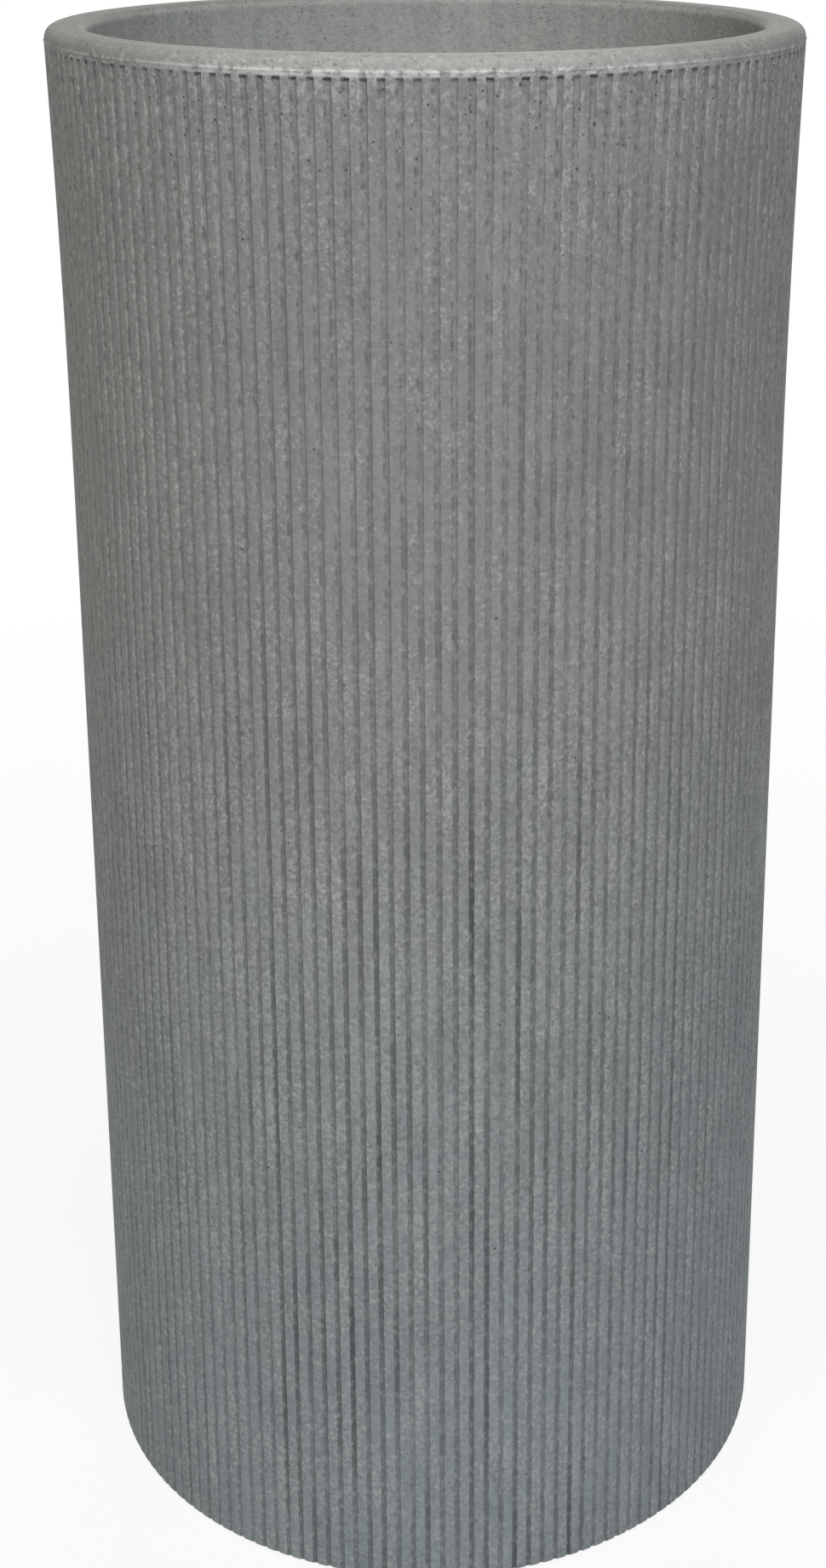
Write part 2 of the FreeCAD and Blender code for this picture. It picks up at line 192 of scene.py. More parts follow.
def turn(mesh, verts, degrees):
    """Turns vertices about the pot's axis."""
    matrix = Matrix.Rotation(math.radians(degrees), 3, "Z")
    bmesh.ops.rotate(mesh, verts=verts, cent=(0, 0, 0), matrix=matrix)


def spin(mesh, geom, degrees, steps, **settings):
    """Sweeps or repeats geometry about the pot's axis."""
    angle = math.radians(degrees)
    bmesh.ops.spin(mesh, geom=geom, cent=(0, 0, 0), axis=(0, 0, 1), angle=angle, steps=steps, **settings)


def bevel(mesh, geom, rounding, steps, affect="VERTICES", clamp=False):
    """Rounds corners or edges in so many steps."""
    bmesh.ops.bevel(
        mesh,
        geom=geom,
        offset=rounding,
        offset_type="OFFSET",
        segments=steps,
        profile=0.5,
        affect=affect,
        clamp_overlap=clamp,
        material=-1,
    )


def round_sharp(mesh, rounding, steps=2, sharper_than=30):
    """Rounds the edges that turn by more than an angle in degrees."""
    bmesh.ops.recalc_face_normals(mesh, faces=mesh.faces)
    least = math.radians(sharper_than)
    edges = [edge for edge in mesh.edges if edge.is_manifold and edge.calc_face_angle() > least]
    bevel(mesh, edges, rounding, steps, "EDGES", clamp=True)


def chain(mesh, points, closed=False):
    """Line of new vertices through points, or a loop of them."""
    verts = [mesh.verts.new(point) for point in points]
    following = [*verts[1:], verts[0]] if closed else verts[1:]
    for first, second in zip(verts, following):
        mesh.edges.new((first, second))
    return verts


def grow_ring(mesh, ring):
    """Extrudes a ring of edges in place, and gives the new ring's vertices and edges."""
    grown = bmesh.ops.extrude_edge_only(mesh, edges=ring)["geom"]
    verts = [item for item in grown if isinstance(item, bmesh.types.BMVert)]
    edges = [item for item in grown if isinstance(item, bmesh.types.BMEdge)]
    fresh = set(verts)
    return verts, [edge for edge in edges if fresh.issuperset(edge.verts)]


def new_object(name, mesh):
    """Object in the scene that takes the mesh over."""
    data = bpy.data.meshes.new(name)
    mesh.to_mesh(data)
    mesh.free()
    made = bpy.data.objects.new(name, data)
    bpy.context.scene.collection.objects.link(made)
    return made


def block(mesh, low, high, degrees=0.0, rounding=0.0):
    """Block between two corners, turned about the pot's axis, with its upright edges rounded."""
    low, high = Vector(low), Vector(high)
    verts = bmesh.ops.create_cube(mesh, size=1.0)["verts"]
    bmesh.ops.scale(mesh, vec=high - low, verts=verts)
    bmesh.ops.translate(mesh, vec=(low + high) / 2, verts=verts)
    turn(mesh, verts, degrees)
    if rounding:
        fresh = set(verts)
        edges = [edge for edge in mesh.edges if fresh.issuperset(edge.verts)]
        upright = [edge for edge in edges if abs(edge.verts[0].co.z - edge.verts[1].co.z) > NEARBY]
        bevel(mesh, upright, rounding, 4, "EDGES")


def radial_block(mesh, inner, outer, width, low, high, degrees, rounding=0.0):
    """Block across a radius, centred on a direction."""
    block(mesh, (inner, -width / 2, low), (outer, width / 2, high), degrees, rounding)


def arc_bar(mesh, inner, outer, low, high, from_degrees, to_degrees, steps=24):
    """Bar with a four-cornered section, swept about the pot's axis from one direction to another."""
    points = ((inner, 0, low), (outer, 0, low), (outer, 0, high), (inner, 0, high))
    face = mesh.faces.new([mesh.verts.new(point) for point in points])
    turn(mesh, face.verts, from_degrees)
    spin(mesh, [face, *face.edges, *face.verts], to_degrees - from_degrees, steps)


def combine(mesh, tool, operation):
    """The mesh with the tool's shapes cut away or joined on, as one closed skin."""
    for skin in (mesh, tool):
        bmesh.ops.recalc_face_normals(skin, faces=skin.faces)
    body = new_object("scratch", mesh)
    cutter = new_object("scratch", tool)
    step = body.modifiers.new("combine", "BOOLEAN")
    step.operation = operation
    step.solver = "EXACT"
    step.object = cutter
    made = bmesh.new()
    made.from_object(body, bpy.context.evaluated_depsgraph_get())
    for done in (body, cutter):
        bpy.data.meshes.remove(done.data)
    return made


def loose(mesh):
    """Vertices and edges that no face uses yet."""
    return [item for item in [*mesh.verts, *mesh.edges] if not item.link_faces]


def turn_loose(mesh, steps):
    """Spins the loose outline once round the pot's axis, and merges its ends where they meet the axis."""
    spin(mesh, loose(mesh), 360, steps, use_merge=True)
    on_axis = [vert for vert in mesh.verts if vert.co.xy.length < SAME_POINT]
    bmesh.ops.remove_doubles(mesh, verts=on_axis, dist=SAME_POINT)


def turned(corners, steps):
    """Mesh turned from an open outline of (radius, height) corners, some with a rounding and its steps."""
    mesh = bmesh.new()
    verts = chain(mesh, [(radius, 0, height) for radius, height, *_ in corners])
    for vert, (_, _, *rounding) in zip(verts, corners):
        if rounding:
            bevel(mesh, [vert], *rounding)
    turn_loose(mesh, steps)
    return mesh


def bridge_at(mesh, lowest, highest):
    """Closes the gap between the two open edges that lie in a band of heights."""
    opened = [edge for edge in mesh.edges if edge.is_boundary]
    rims = [edge for edge in opened if all(lowest <= vert.co.z <= highest for vert in edge.verts)]
    bmesh.ops.bridge_loops(mesh, edges=rims)


finishes = {}  # materials by name, which for pieces is their slot


def add_piece(name, mesh, body, slot, *nodes, sharp_angle=SHARP_ANGLE):
    """Makes a finished piece that rides on a body and stands for the nodes named."""
    bmesh.ops.recalc_face_normals(mesh, faces=mesh.faces)
    for face in mesh.faces:
        face.smooth = True
    piece = new_object(name, mesh)
    piece.data.set_sharp_from_angle(angle=sharp_angle)
    piece.data.materials.append(finishes[slot])
    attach(piece, body)
    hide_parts(*nodes)


# Shell


def crest_radius(height):
    """Radius of the rib crests: a straight draft that flares out towards the rim band."""
    top_radius = RIM_RADIUS - RIM_STEP
    draft = BASE_RADIUS + (top_radius - FLARE - BASE_RADIUS) * height / GROOVE_TOP
    return draft + FLARE * max(0.0, (height - FLARE_START) / FLARE_HEIGHT) ** 2


def rib_ring(mesh):
    """Ring of rib crests and grooves where the grooves end, with each groove a little different."""
    radius = crest_radius(GROOVE_TOP)
    half_pitch = RIB_PITCH / 2
    wide = GROOVE_WIDTH / 2 + GROOVE_WIDENING
    narrow = GROOVE_FLOOR / 2 + GROOVE_WIDENING
    crest_side = radius * math.sin(half_pitch)
    crest_out = radius * math.cos(half_pitch)
    points = [
        (crest_out, -crest_side),
        (radius, -wide),
        (radius - GROOVE_SHALLOW_SIDE * GROOVE_END_DEPTH, -narrow),
        (radius - GROOVE_DEPTH * GROOVE_END_DEPTH, narrow),
        (radius, wide),
        (crest_out, crest_side),
    ]
    verts = chain(mesh, [(out, side, GROOVE_TOP) for out, side in points])
    bevel(mesh, verts[1:-1], GROOVE_ROUND, 2)
    turn(mesh, mesh.verts, math.degrees(half_pitch))
    spin(mesh, loose(mesh), 360, RIB_COUNT, use_duplicate=True)
    bmesh.ops.remove_doubles(mesh, verts=mesh.verts, dist=SAME_POINT)
    mark_grooves(mesh, radius)


def groove_index(vert):
    """Which groove a vertex belongs to, counted from +X."""
    return math.floor(math.atan2(vert.co.y, vert.co.x) / RIB_PITCH) % RIB_COUNT


def mark_grooves(mesh, radius):
    """Stores each point's depth in its groove and how dark the groove's dirt and painted shade are, and
    makes some grooves shallower.
    """
    groove = mesh.verts.layers.float.new("groove")
    dirt = mesh.verts.layers.float.new("groove_dirt_and_shade")
    depths = [1 - GROOVE_UNEVENNESS * chance.random() for _ in range(RIB_COUNT)]
    dirts = [chance.random() for _ in range(RIB_COUNT)]
    end_depth = GROOVE_DEPTH * GROOVE_END_DEPTH
    for vert in mesh.verts:
        out = vert.co.xy.length
        depth = min(1.0, max(0.0, (radius - out) / end_depth))
        vert[groove] = depth
        index = groove_index(vert)
        vert[dirt] = dirts[index]
        share = depths[index]
        vert.co.xy *= (out + (1 - share) * depth * end_depth) / out


def narrow_grooves(mesh, verts, amount):
    """Moves both sides of every groove towards its middle, and its floor inwards."""
    groove = mesh.verts.layers.float["groove"]
    deepening = GROOVE_DEPTH * (1 - GROOVE_END_DEPTH) * amount
    for vert in verts:
        angle = math.atan2(vert.co.y, vert.co.x)
        offset = (angle / RIB_PITCH) % 1 - 0.5
        side = min(1.0, (0.5 - abs(offset)) * 4)
        shift = -math.copysign(GROOVE_WIDENING * amount * side, offset)
        along = Vector((-math.sin(angle), math.cos(angle), 0))
        out = vert.co.xy.length
        vert.co.xy *= (out - deepening * vert[groove]) / out
        vert.co += along * shift


def end_form(height):
    """One at the rim, where grooves are wide and shallow, and nought from some way below it."""
    return max(0.0, 1 - (GROOVE_TOP - height) / WIDENING_HEIGHT)


def flare_heights(steps):
    return [GROOVE_TOP - FLARE_HEIGHT * step / steps for step in range(1, steps + 1)]


def wall_heights():
    """Heights of the rings from the rim band down, closer together where the wall curves."""
    return flare_heights(FLARE_STEPS) + [
        FLARE_START + (FOOT_ROUND - FLARE_START) * step / WALL_STEPS for step in range(1, WALL_STEPS + 1)
    ]


def lower_ring(mesh, ring, radius_ratio, drop, narrowing):
    """Extrudes the open ring downwards and returns the new ring's edges."""
    verts, edges = grow_ring(mesh, ring)
    bmesh.ops.scale(mesh, vec=(radius_ratio, radius_ratio, 1), verts=verts)
    bmesh.ops.translate(mesh, vec=(0, 0, -drop), verts=verts)
    if narrowing:
        narrow_grooves(mesh, verts, narrowing)
    return edges


def ribbed_wall(mesh):
    """The fluted outside, from the rim band down to the rounded foot."""
    rib_ring(mesh)
    ring = list(mesh.edges)
    height = GROOVE_TOP
    radius = crest_radius(height)
    for lower in wall_heights():
        lower_radius = crest_radius(lower)
        narrowing = end_form(height) - end_form(lower)
        ring = lower_ring(mesh, ring, lower_radius / radius, height - lower, narrowing)
        height, radius = lower, lower_radius
    for step in range(1, FOOT_STEPS + 1):
        angle = FOOT_TURN * step / FOOT_STEPS
        lower = FOOT_ROUND * (1 - math.sin(angle))
        lower_radius = crest_radius(FOOT_ROUND) - FOOT_ROUND * (1 - math.cos(angle))
        ring = lower_ring(mesh, ring, lower_radius / radius, height - lower, 0)
        height, radius = lower, lower_radius


def uneven_ends(mesh):
    """Lets each groove end a little short of the rim, by its own amount."""
    groove = mesh.verts.layers.float["groove"]
    drops = [GROOVE_END_DROP * chance.random() for _ in range(RIB_COUNT)]
    for vert in mesh.verts:
        if abs(vert.co.z - GROOVE_TOP) < SAME_POINT:
            vert.co.z -= drops[groove_index(vert)] * vert[groove]


def inside_radius(height):
    return crest_radius(height) - GROOVE_DEPTH - WALL


def plain_body():
    """Rim, mouth, ledge, hollow inside, floor and underside: everything that is turned."""
    band = RIM_RADIUS - RIDGE_HEIGHT
    ridge = POT_TOP - RIDGE_DROP
    hollow_top = POT_TOP - WALL
    lip_back = MOUTH_RADIUS + WALL
    floor_top = FLOOR_RISE + WALL
    recess = BASE_RADIUS - FOOT_ROUND - STANDING_RING
    slope_shift = WALL * math.tan(math.pi / 8)
    corners = [
        (RIM_RADIUS - RIM_STEP + 0.05 * MM, GROOVE_TOP + 0.3 * MM),
        (band, ridge - RIDGE_HALF_WIDTH),
        (RIM_RADIUS, ridge, 0.3 * MM, 2),
        (band, ridge + RIDGE_HALF_WIDTH),
        (band, POT_TOP, RIM_OUTER_ROUND, 8),
        (MOUTH_RADIUS, POT_TOP, RIM_INNER_ROUND, 6),
        (MOUTH_RADIUS, POT_TOP - MOUTH_DEPTH, 0.6 * MM, 2),
        (SEAT_RADIUS, POT_TOP - MOUTH_DEPTH, 0.6 * MM, 2),
        (SEAT_RADIUS, LEDGE_TOP, 0.8 * MM, 2),
        (LEDGE_RADIUS, LEDGE_TOP, 1 * MM, 2),
        (LEDGE_RADIUS, LEDGE_TOP - WALL, 1 * MM, 2),
        (lip_back, LEDGE_TOP - WALL, 3 * MM, 3),
        (lip_back, hollow_top, 3 * MM, 3),
        (inside_radius(GROOVE_TOP), hollow_top, 3 * MM, 3),
        *[(inside_radius(height), height) for height in flare_heights(INSIDE_FLARE_STEPS)],
        (inside_radius(WALL), WALL, 5 * MM, 4),
        (recess + slope_shift, WALL, 2 * MM, 2),
        (recess - FLOOR_RISE + slope_shift, floor_top, 4 * MM, 3),
        (DRAIN_RADIUS, floor_top, 0.8 * MM, 2),
        (DRAIN_RADIUS, FLOOR_RISE, 0.8 * MM, 2),
        (recess - FLOOR_RISE, FLOOR_RISE, 4 * MM, 3),
        (recess, 0, 2 * MM, 2),
        (BASE_RADIUS - FOOT_ROUND - GROOVE_DEPTH - 2 * MM, 0),
    ]
    return turned(corners, ROUND_STEPS)


def planter_shell():
    """One closed moulding: the fluted wall joined to the turned rim, inside and base."""
    mesh = plain_body()
    plain = bpy.data.meshes.new("plain_body")
    mesh.to_mesh(plain)
    mesh.clear()
    ribbed_wall(mesh)
    mesh.from_mesh(plain)
    bpy.data.meshes.remove(plain)
    bridge_at(mesh, GROOVE_TOP - NEARBY, POT_TOP)
    bridge_at(mesh, -NEARBY, 1 * MM)
    uneven_ends(mesh)
    add_piece("planter_shell", mesh, "pot", "stone_plastic", "pot_shell")


# Drain plug and seal


def drain_plug():
    """Turned plug with a flange, and a grooved tab to pull it up by."""
    low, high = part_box("drain_plug")
    flange_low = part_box("drain_seal")[1].z
    flange_high = flange_low + PLUG_FLANGE
    stem = DRAIN_RADIUS - PLUG_CLEARANCE
    corners = [
        (0, low.z + PLUG_HOLLOW),
        (stem - 3 * MM, low.z + PLUG_HOLLOW, 0.6 * MM, 2),
        (stem - 2.2 * MM, low.z, 0.6 * MM, 2),
        (stem, low.z, 1 * MM, 3),
        (stem, flange_low, 0.3 * MM, 1),
        (PLUG_FLANGE_RADIUS, flange_low, 0.5 * MM, 2),
        (PLUG_FLANGE_RADIUS, flange_high, 1.2 * MM, 3),
        (0, flange_high),
    ]
    tab = pull_tab(flange_high - PLUG_FLANGE / 2, high.z)
    mesh = combine(turned(corners, PLUG_STEPS), tab, "UNION")
    add_piece("plug_with_tab", mesh, "plug", "plug_plastic", "drain_plug")


def plate(points, thickness, rounding, head_rounding=0.0):
    """Flat upright plate from an outline of (x, z) points, with its topmost corners rounded off."""
    mesh = bmesh.new()
    face = mesh.faces.new([mesh.verts.new((x, -thickness / 2, z)) for x, z in points])
    top = max(z for _, z in points)
    if head_rounding:
        bevel(mesh, [vert for vert in face.verts if vert.co.z > top - MM], head_rounding, 8)
    grown = bmesh.ops.extrude_face_region(mesh, geom=mesh.faces[:])["geom"]
    verts = [item for item in grown if isinstance(item, bmesh.types.BMVert)]
    bmesh.ops.translate(mesh, vec=(0, thickness, 0), verts=verts)
    round_sharp(mesh, rounding, 2, 50)
    return mesh


def pull_tab(low, high):
    """Flat tab with a round head and three finger grooves on each side."""
    half = TAB_WIDTH / 2
    outline = ((-half, low), (half, low), (half, high), (-half, high))
    tab = plate(outline, TAB_THICKNESS, 0.7 * MM, head_rounding=half * 0.99)
    grooves = bmesh.new()
    length = half * 0.6
    for drop in TAB_GROOVES:
        bottom, top = high - drop - TAB_GROOVE_HALF_WIDTH, high - drop + TAB_GROOVE_HALF_WIDTH
        for side in (-1, 1):
            inner, outer = sorted((side * (TAB_THICKNESS / 2 - TAB_GROOVE_DEPTH), side * TAB_THICKNESS))
            block(grooves, (-length, inner, bottom), (length, outer, top))
    return combine(tab, grooves, "DIFFERENCE")


def drain_seal():
    """Washer with a rounded section and a groove round its edge."""
    low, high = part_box("drain_seal")
    middle = (low.z + high.z) / 2
    mesh = bmesh.new()
    points = [
        (DRAIN_RADIUS, low.z),
        (SEAL_RADIUS, low.z),
        (SEAL_RADIUS, middle - 0.35 * MM),
        (SEAL_RADIUS - 0.4 * MM, middle),
        (SEAL_RADIUS, middle + 0.35 * MM),
        (SEAL_RADIUS, high.z),
        (DRAIN_RADIUS, high.z),
    ]
    chain(mesh, [(radius, 0, height) for radius, height in points], closed=True)
    turn_loose(mesh, PLUG_STEPS)
    round_sharp(mesh, 0.3 * MM, 2, 60)
    add_piece("plug_seal", mesh, "plug", "seal_rubber", "drain_seal")


# Liner and its handles


def planting_liner():
    """Straight liner with strengthening beads, a slotted flange, lugs and overflow windows."""
    low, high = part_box("liner_pot")
    flange = high.x
    beads = []
    for middle in BEAD_HEIGHTS:
        beads += [
            (LINER_RADIUS, middle - BEAD_HALF_HEIGHT, 1 * MM, 2),
            (LINER_RADIUS + BEAD_REACH, middle, 2 * MM, 4),
            (LINER_RADIUS, middle + BEAD_HALF_HEIGHT, 1 * MM, 2),
        ]
    corners = [
        (0, low.z + LINER_FOOT),
        (LINER_FOOT_RADIUS - 2 * MM, low.z + LINER_FOOT, 0.8 * MM, 2),
        (LINER_FOOT_RADIUS, low.z, 0.8 * MM, 2),
        (LINER_RADIUS, low.z, 5 * MM, 5),
        *beads,
        (LINER_RADIUS, LEDGE_TOP, 2 * MM, 3),
        (flange, LEDGE_TOP, 0.5 * MM, 2),
        (flange, high.z, 1.2 * MM, 3),
        (BORE_RADIUS, high.z, 1.2 * MM, 3),
        (BORE_RADIUS, low.z + LINER_WALL, 4 * MM, 4),
        (0, low.z + LINER_WALL),
    ]
    mesh = combine(turned(corners, LINER_STEPS), liner_lugs(low.z + LINER_WALL), "UNION")
    mesh = combine(mesh, liner_openings(high.z), "DIFFERENCE")
    add_piece("planting_liner", mesh, "liner", "liner_plastic", "liner_pot")


def liner_lugs(floor):
    """Ribs on the liner's floor and wall that carry the grid."""
    lugs = bmesh.new()
    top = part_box("root_grid")[0].z
    inner = BORE_RADIUS - LUG_REACH
    sunk = LINER_WALL / 2
    for index in range(LUG_COUNT):
        degrees = 360 * (index + 0.5) / LUG_COUNT
        radial_block(lugs, inner, BORE_RADIUS + sunk, LUG_WIDTH, floor - sunk, top, degrees, 1 * MM)
    return lugs


def liner_openings(top):
    """Cutters for the overflow windows, the handles' slots and the finger notches."""
    cutters = bmesh.new()
    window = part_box("root_grid")[0].z - OVERFLOW_DROP
    low, high = window - OVERFLOW_SIZE / 2, window + OVERFLOW_SIZE / 2
    inner, outer = BORE_RADIUS - LINER_WALL, LINER_RADIUS + LINER_WALL
    for index in range(OVERFLOW_COUNT):
        degrees = 360 * (index + 0.5) / OVERFLOW_COUNT
        radial_block(cutters, inner, outer, OVERFLOW_SIZE, low, high, degrees)
    low, high = LEDGE_TOP - CUT_PAST, top + CUT_PAST
    inner, outer = LEG_INNER - LEG_CLEARANCE / 2, LEG_OUTER + LEG_CLEARANCE / 2
    notch = BORE_RADIUS - CUT_PAST, FINGER_RADIUS, top - FINGER_DEPTH, high
    for side in (0, 180):
        for leg in (-HANDLE_HALF_ANGLE, HANDLE_HALF_ANGLE):
            radial_block(cutters, inner, outer, LEG_WIDTH + LEG_CLEARANCE, low, high, side + leg, 0.6 * MM)
        arc_bar(cutters, *notch, side - FINGER_HALF_ANGLE, side + FINGER_HALF_ANGLE)
    return cutters


def liner_handle(name, node_name, body, side):
    """Curved grip with finger grooves in its top, on two flat legs with stop feet."""
    low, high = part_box(node_name)
    grip_low = high.z - GRIP_THICKNESS
    mesh = bmesh.new()
    arc_bar(mesh, GRIP_INNER, GRIP_OUTER, grip_low, high.z, side - GRIP_HALF_ANGLE, side + GRIP_HALF_ANGLE)
    round_sharp(mesh, 1.2 * MM, 3, 50)
    grooves = bmesh.new()
    middle = (GRIP_INNER + GRIP_OUTER) / 2
    inner, outer = middle - GRIP_GROOVE_HALF_LENGTH, middle + GRIP_GROOVE_HALF_LENGTH
    bottom, top = high.z - GRIP_GROOVE_DEPTH, high.z + CUT_PAST
    for index in range(GRIP_GROOVES):
        degrees = side + GRIP_GROOVE_STEP * (index - GRIP_GROOVES // 2)
        radial_block(grooves, inner, outer, GRIP_GROOVE_WIDTH, bottom, top, degrees, 1.1 * MM)
    mesh = combine(mesh, grooves, "DIFFERENCE")
    for leg in (-HANDLE_HALF_ANGLE, HANDLE_HALF_ANGLE):
        mesh = combine(mesh, handle_leg(low.z, grip_low + 2 * MM, side + leg), "UNION")
    add_piece(name, mesh, body, "handle_plastic", node_name)


def handle_leg(low, high, degrees):
    """Flat leg with a wider foot that stops it under its slot."""
    foot, shank = LEG_FOOT_WIDTH / 2, LEG_WIDTH / 2
    ankle = low + LEG_FOOT_HEIGHT
    half = [(foot, low), (foot, ankle), (shank, ankle), (shank, high)]
    outline = half + [(-x, z) for x, z in reversed(half)]
    leg = plate(outline, LEG_OUTER - LEG_INNER, 0.5 * MM)
    bmesh.ops.translate(leg, vec=(0, -(LEG_INNER + LEG_OUTER) / 2, 0), verts=leg.verts)
    turn(leg, leg.verts, 90 + degrees)
    return leg


# Root grid and wick basket


def many_sided(corners):
    """Mesh with as many sides as the basket, one of them towards +X."""
    mesh = turned(corners, BASKET_SIDES)
    turn(mesh, mesh.verts, 180 / BASKET_SIDES)
    return mesh


def root_grid():
    """Round plate with a lip, a bead between its rows of slots, and holes for the basket and the tube."""
    low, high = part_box("root_grid")
    edge = high.x
    bead = (SLOT_ROWS[0][2] + SLOT_ROWS[1][1]) / 2
    corners = [
        (0, low.z),
        (edge, low.z, 0.8 * MM, 2),
        (edge, high.z + GRID_LIP, 0.8 * MM, 2),
        (edge - 2.4 * MM, high.z + GRID_LIP, 0.8 * MM, 2),
        (edge - 3 * MM, high.z, 0.8 * MM, 2),
        (bead + 3 * MM, high.z, 0.6 * MM, 2),
        (bead + 1.5 * MM, high.z + GRID_BEAD, 0.6 * MM, 2),
        (bead - 1.5 * MM, high.z + GRID_BEAD, 0.6 * MM, 2),
        (bead - 3 * MM, high.z, 0.6 * MM, 2),
        (0, high.z),
    ]
    below, above = low.z - 2 * MM, high.z + 3 * MM
    hole = BASKET_RADIUS + BASKET_CLEARANCE
    basket_hole = many_sided([(0, below), (hole, below), (hole, above), (0, above)])
    mesh = combine(turned(corners, LINER_STEPS), basket_hole, "DIFFERENCE")
    cutters = bmesh.new()
    oblong(cutters, [(-TUBE_CLEARANCE, below), (-TUBE_CLEARANCE, above)])
    for count, inner, outer in SLOT_ROWS:
        for index in range(count):
            degrees = 360 * index / count
            if inner > SLOT_ROWS[0][2] and degrees == TUBE_DIRECTION:
                continue
            radial_block(cutters, inner, outer, SLOT_WIDTH, below, above, degrees, SLOT_WIDTH * 0.45)
    mesh = combine(mesh, cutters, "DIFFERENCE")
    add_piece("root_grid_plate", mesh, "grid", "grid_plastic", "root_grid")


def wick_basket():
    """Twelve-sided basket with rounded corners and one slot in each side."""
    low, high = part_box("wick_basket")
    grid_low, grid_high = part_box("root_grid")
    lip = BASKET_RADIUS + BASKET_LIP
    bore = BASKET_RADIUS - BASKET_WALL
    corners = [
        (0, low.z),
        (BASKET_RADIUS, low.z),
        (BASKET_RADIUS, grid_high.z),
        (lip, grid_high.z),
        (lip, high.z),
        (bore, high.z),
        (bore, low.z + BASKET_WALL),
        (0, low.z + BASKET_WALL),
    ]
    mesh = many_sided(corners)
    round_sharp(mesh, 0.7 * MM, 2, 20)
    slots = bmesh.new()
    bottom, top = low.z + BASKET_SLOT_MARGIN, grid_low.z - BASKET_SLOT_MARGIN
    for side in range(BASKET_SIDES):
        degrees = 360 * side / BASKET_SIDES
        radial_block(slots, BASKET_RADIUS / 2, lip, BASKET_SLOT_WIDTH, bottom, top, degrees)
    mesh = combine(mesh, slots, "DIFFERENCE")
    sharp = BASKET_SHARP_ANGLE
    add_piece("slotted_wick_basket", mesh, "grid", "grid_plastic", "wick_basket", sharp_angle=sharp)


# Water-level indicator


def oblong(mesh, levels, through=False):
    """Skin through rounded rings, given as insets from the tube's outline and heights.

    The first and last rings are closed, or joined to each other for a hole that goes through.
    """
    low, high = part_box("indicator_cap")
    centre = (low + high) / 2
    half = (high - low) / 2
    inset, height = levels[0]
    before = set(mesh.verts)
    sides = ((1, -1), (1, 1), (-1, 1), (-1, -1))
    points = [(centre.x + x * (half.x - inset), centre.y + y * (half.y - inset), height) for x, y in sides]
    bevel(mesh, chain(mesh, points, closed=True), TUBE_CORNER, 4)
    fresh = set(mesh.verts) - before
    first_ring = [edge for edge in mesh.edges if fresh.issuperset(edge.verts)]
    ring = first_ring
    for next_inset, next_height in levels[1:]:
        verts, ring = grow_ring(mesh, ring)
        for vert in verts:
            side_x = 1 if vert.co.x > centre.x else -1
            side_y = 1 if vert.co.y > centre.y else -1
            vert.co += Vector((side_x, side_y, 0)) * (inset - next_inset)
            vert.co.z = next_height
        inset = next_inset
    if through:
        bmesh.ops.bridge_loops(mesh, edges=first_ring + ring)
    else:
        bmesh.ops.edgeloop_fill(mesh, edges=first_ring)
        bmesh.ops.edgeloop_fill(mesh, edges=ring)
    bmesh.ops.recalc_face_normals(mesh, faces=mesh.faces)


def indicator_tube():
    """Tube with a collar that rests on the grid and a lip at its foot that holds the float."""
    low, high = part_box("indicator_tube")
    collar_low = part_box("root_grid")[1].z
    collar_high = collar_low + COLLAR_THICKNESS
    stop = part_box("indicator_float")[0].z
    levels = [
        (0, low.z),
        (0, collar_low),
        (-COLLAR_WIDTH, collar_low),
        (-COLLAR_WIDTH, collar_high),
        (0, collar_high),
        (0, high.z),
        (TUBE_WALL, high.z),
        (TUBE_WALL, stop),
        (TUBE_WALL + TUBE_LIP, stop),
        (TUBE_WALL + TUBE_LIP, low.z),
    ]
    mesh = bmesh.new()
    oblong(mesh, levels, through=True)
    round_sharp(mesh, 0.4 * MM, 2, 50)
    add_piece("indicator_shaft", mesh, "grid", "tube_plastic", "indicator_tube")


def indicator_cap():
    """Clear cap with a rounded top, on a spigot in the tube."""
    low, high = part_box("indicator_cap")
    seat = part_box("indicator_tube")[1].z
    hollow = CAP_SPIGOT_INSET + TUBE_WALL
    levels = [
        (hollow, high.z - TUBE_WALL),
        (hollow, low.z),
        (CAP_SPIGOT_INSET, low.z),
        (CAP_SPIGOT_INSET, seat),
        (0, seat),
        (0, high.z - 4 * MM),
        (0.4 * MM, high.z - 2 * MM),
        (1.4 * MM, high.z - 0.6 * MM),
        (3 * MM, high.z),
    ]
    mesh = bmesh.new()
    oblong(mesh, levels)
    round_sharp(mesh, 0.3 * MM, 2, 50)
    add_piece("indicator_window", mesh, "grid", "clear_plastic", "indicator_cap")


def indicator_float():
    """Float with rounded ends and a seam round its middle."""
    low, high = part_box("indicator_float")
    middle = (low.z + high.z) / 2
    levels = [
        (FLOAT_INSET, low.z),
        (FLOAT_INSET, middle - 0.8 * MM),
        (SEAM_INSET, middle - 0.3 * MM),
        (SEAM_INSET, middle + 0.3 * MM),
        (FLOAT_INSET, middle + 0.8 * MM),
        (FLOAT_INSET, high.z),
    ]
    mesh = bmesh.new()
    oblong(mesh, levels)
    round_sharp(mesh, 1.5 * MM, 3, 60)
    add_piece("level_float", mesh, "float", "float_plastic", "indicator_float")


def indicator_rod():
    """Flat rod with a rounded tip that shows in the window."""
    low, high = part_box("indicator_rod")
    middle = (low.y + high.y) / 2
    tip = bmesh.new()
    block(tip, (low.x, low.y, high.z - TIP_LENGTH), high)
    round_sharp(tip, 1 * MM, 3)
    rod = bmesh.new()
    bottom = (-ROD_HALF_WIDTH, middle - ROD_HALF_THICKNESS, low.z)
    block(rod, bottom, (ROD_HALF_WIDTH, middle + ROD_HALF_THICKNESS, high.z - TIP_LENGTH / 2))
    round_sharp(rod, 0.4 * MM, 2)
    mesh = combine(tip, rod, "UNION")
    add_piece("level_rod", mesh, "float", "signal_plastic", "indicator_rod")


# Materials

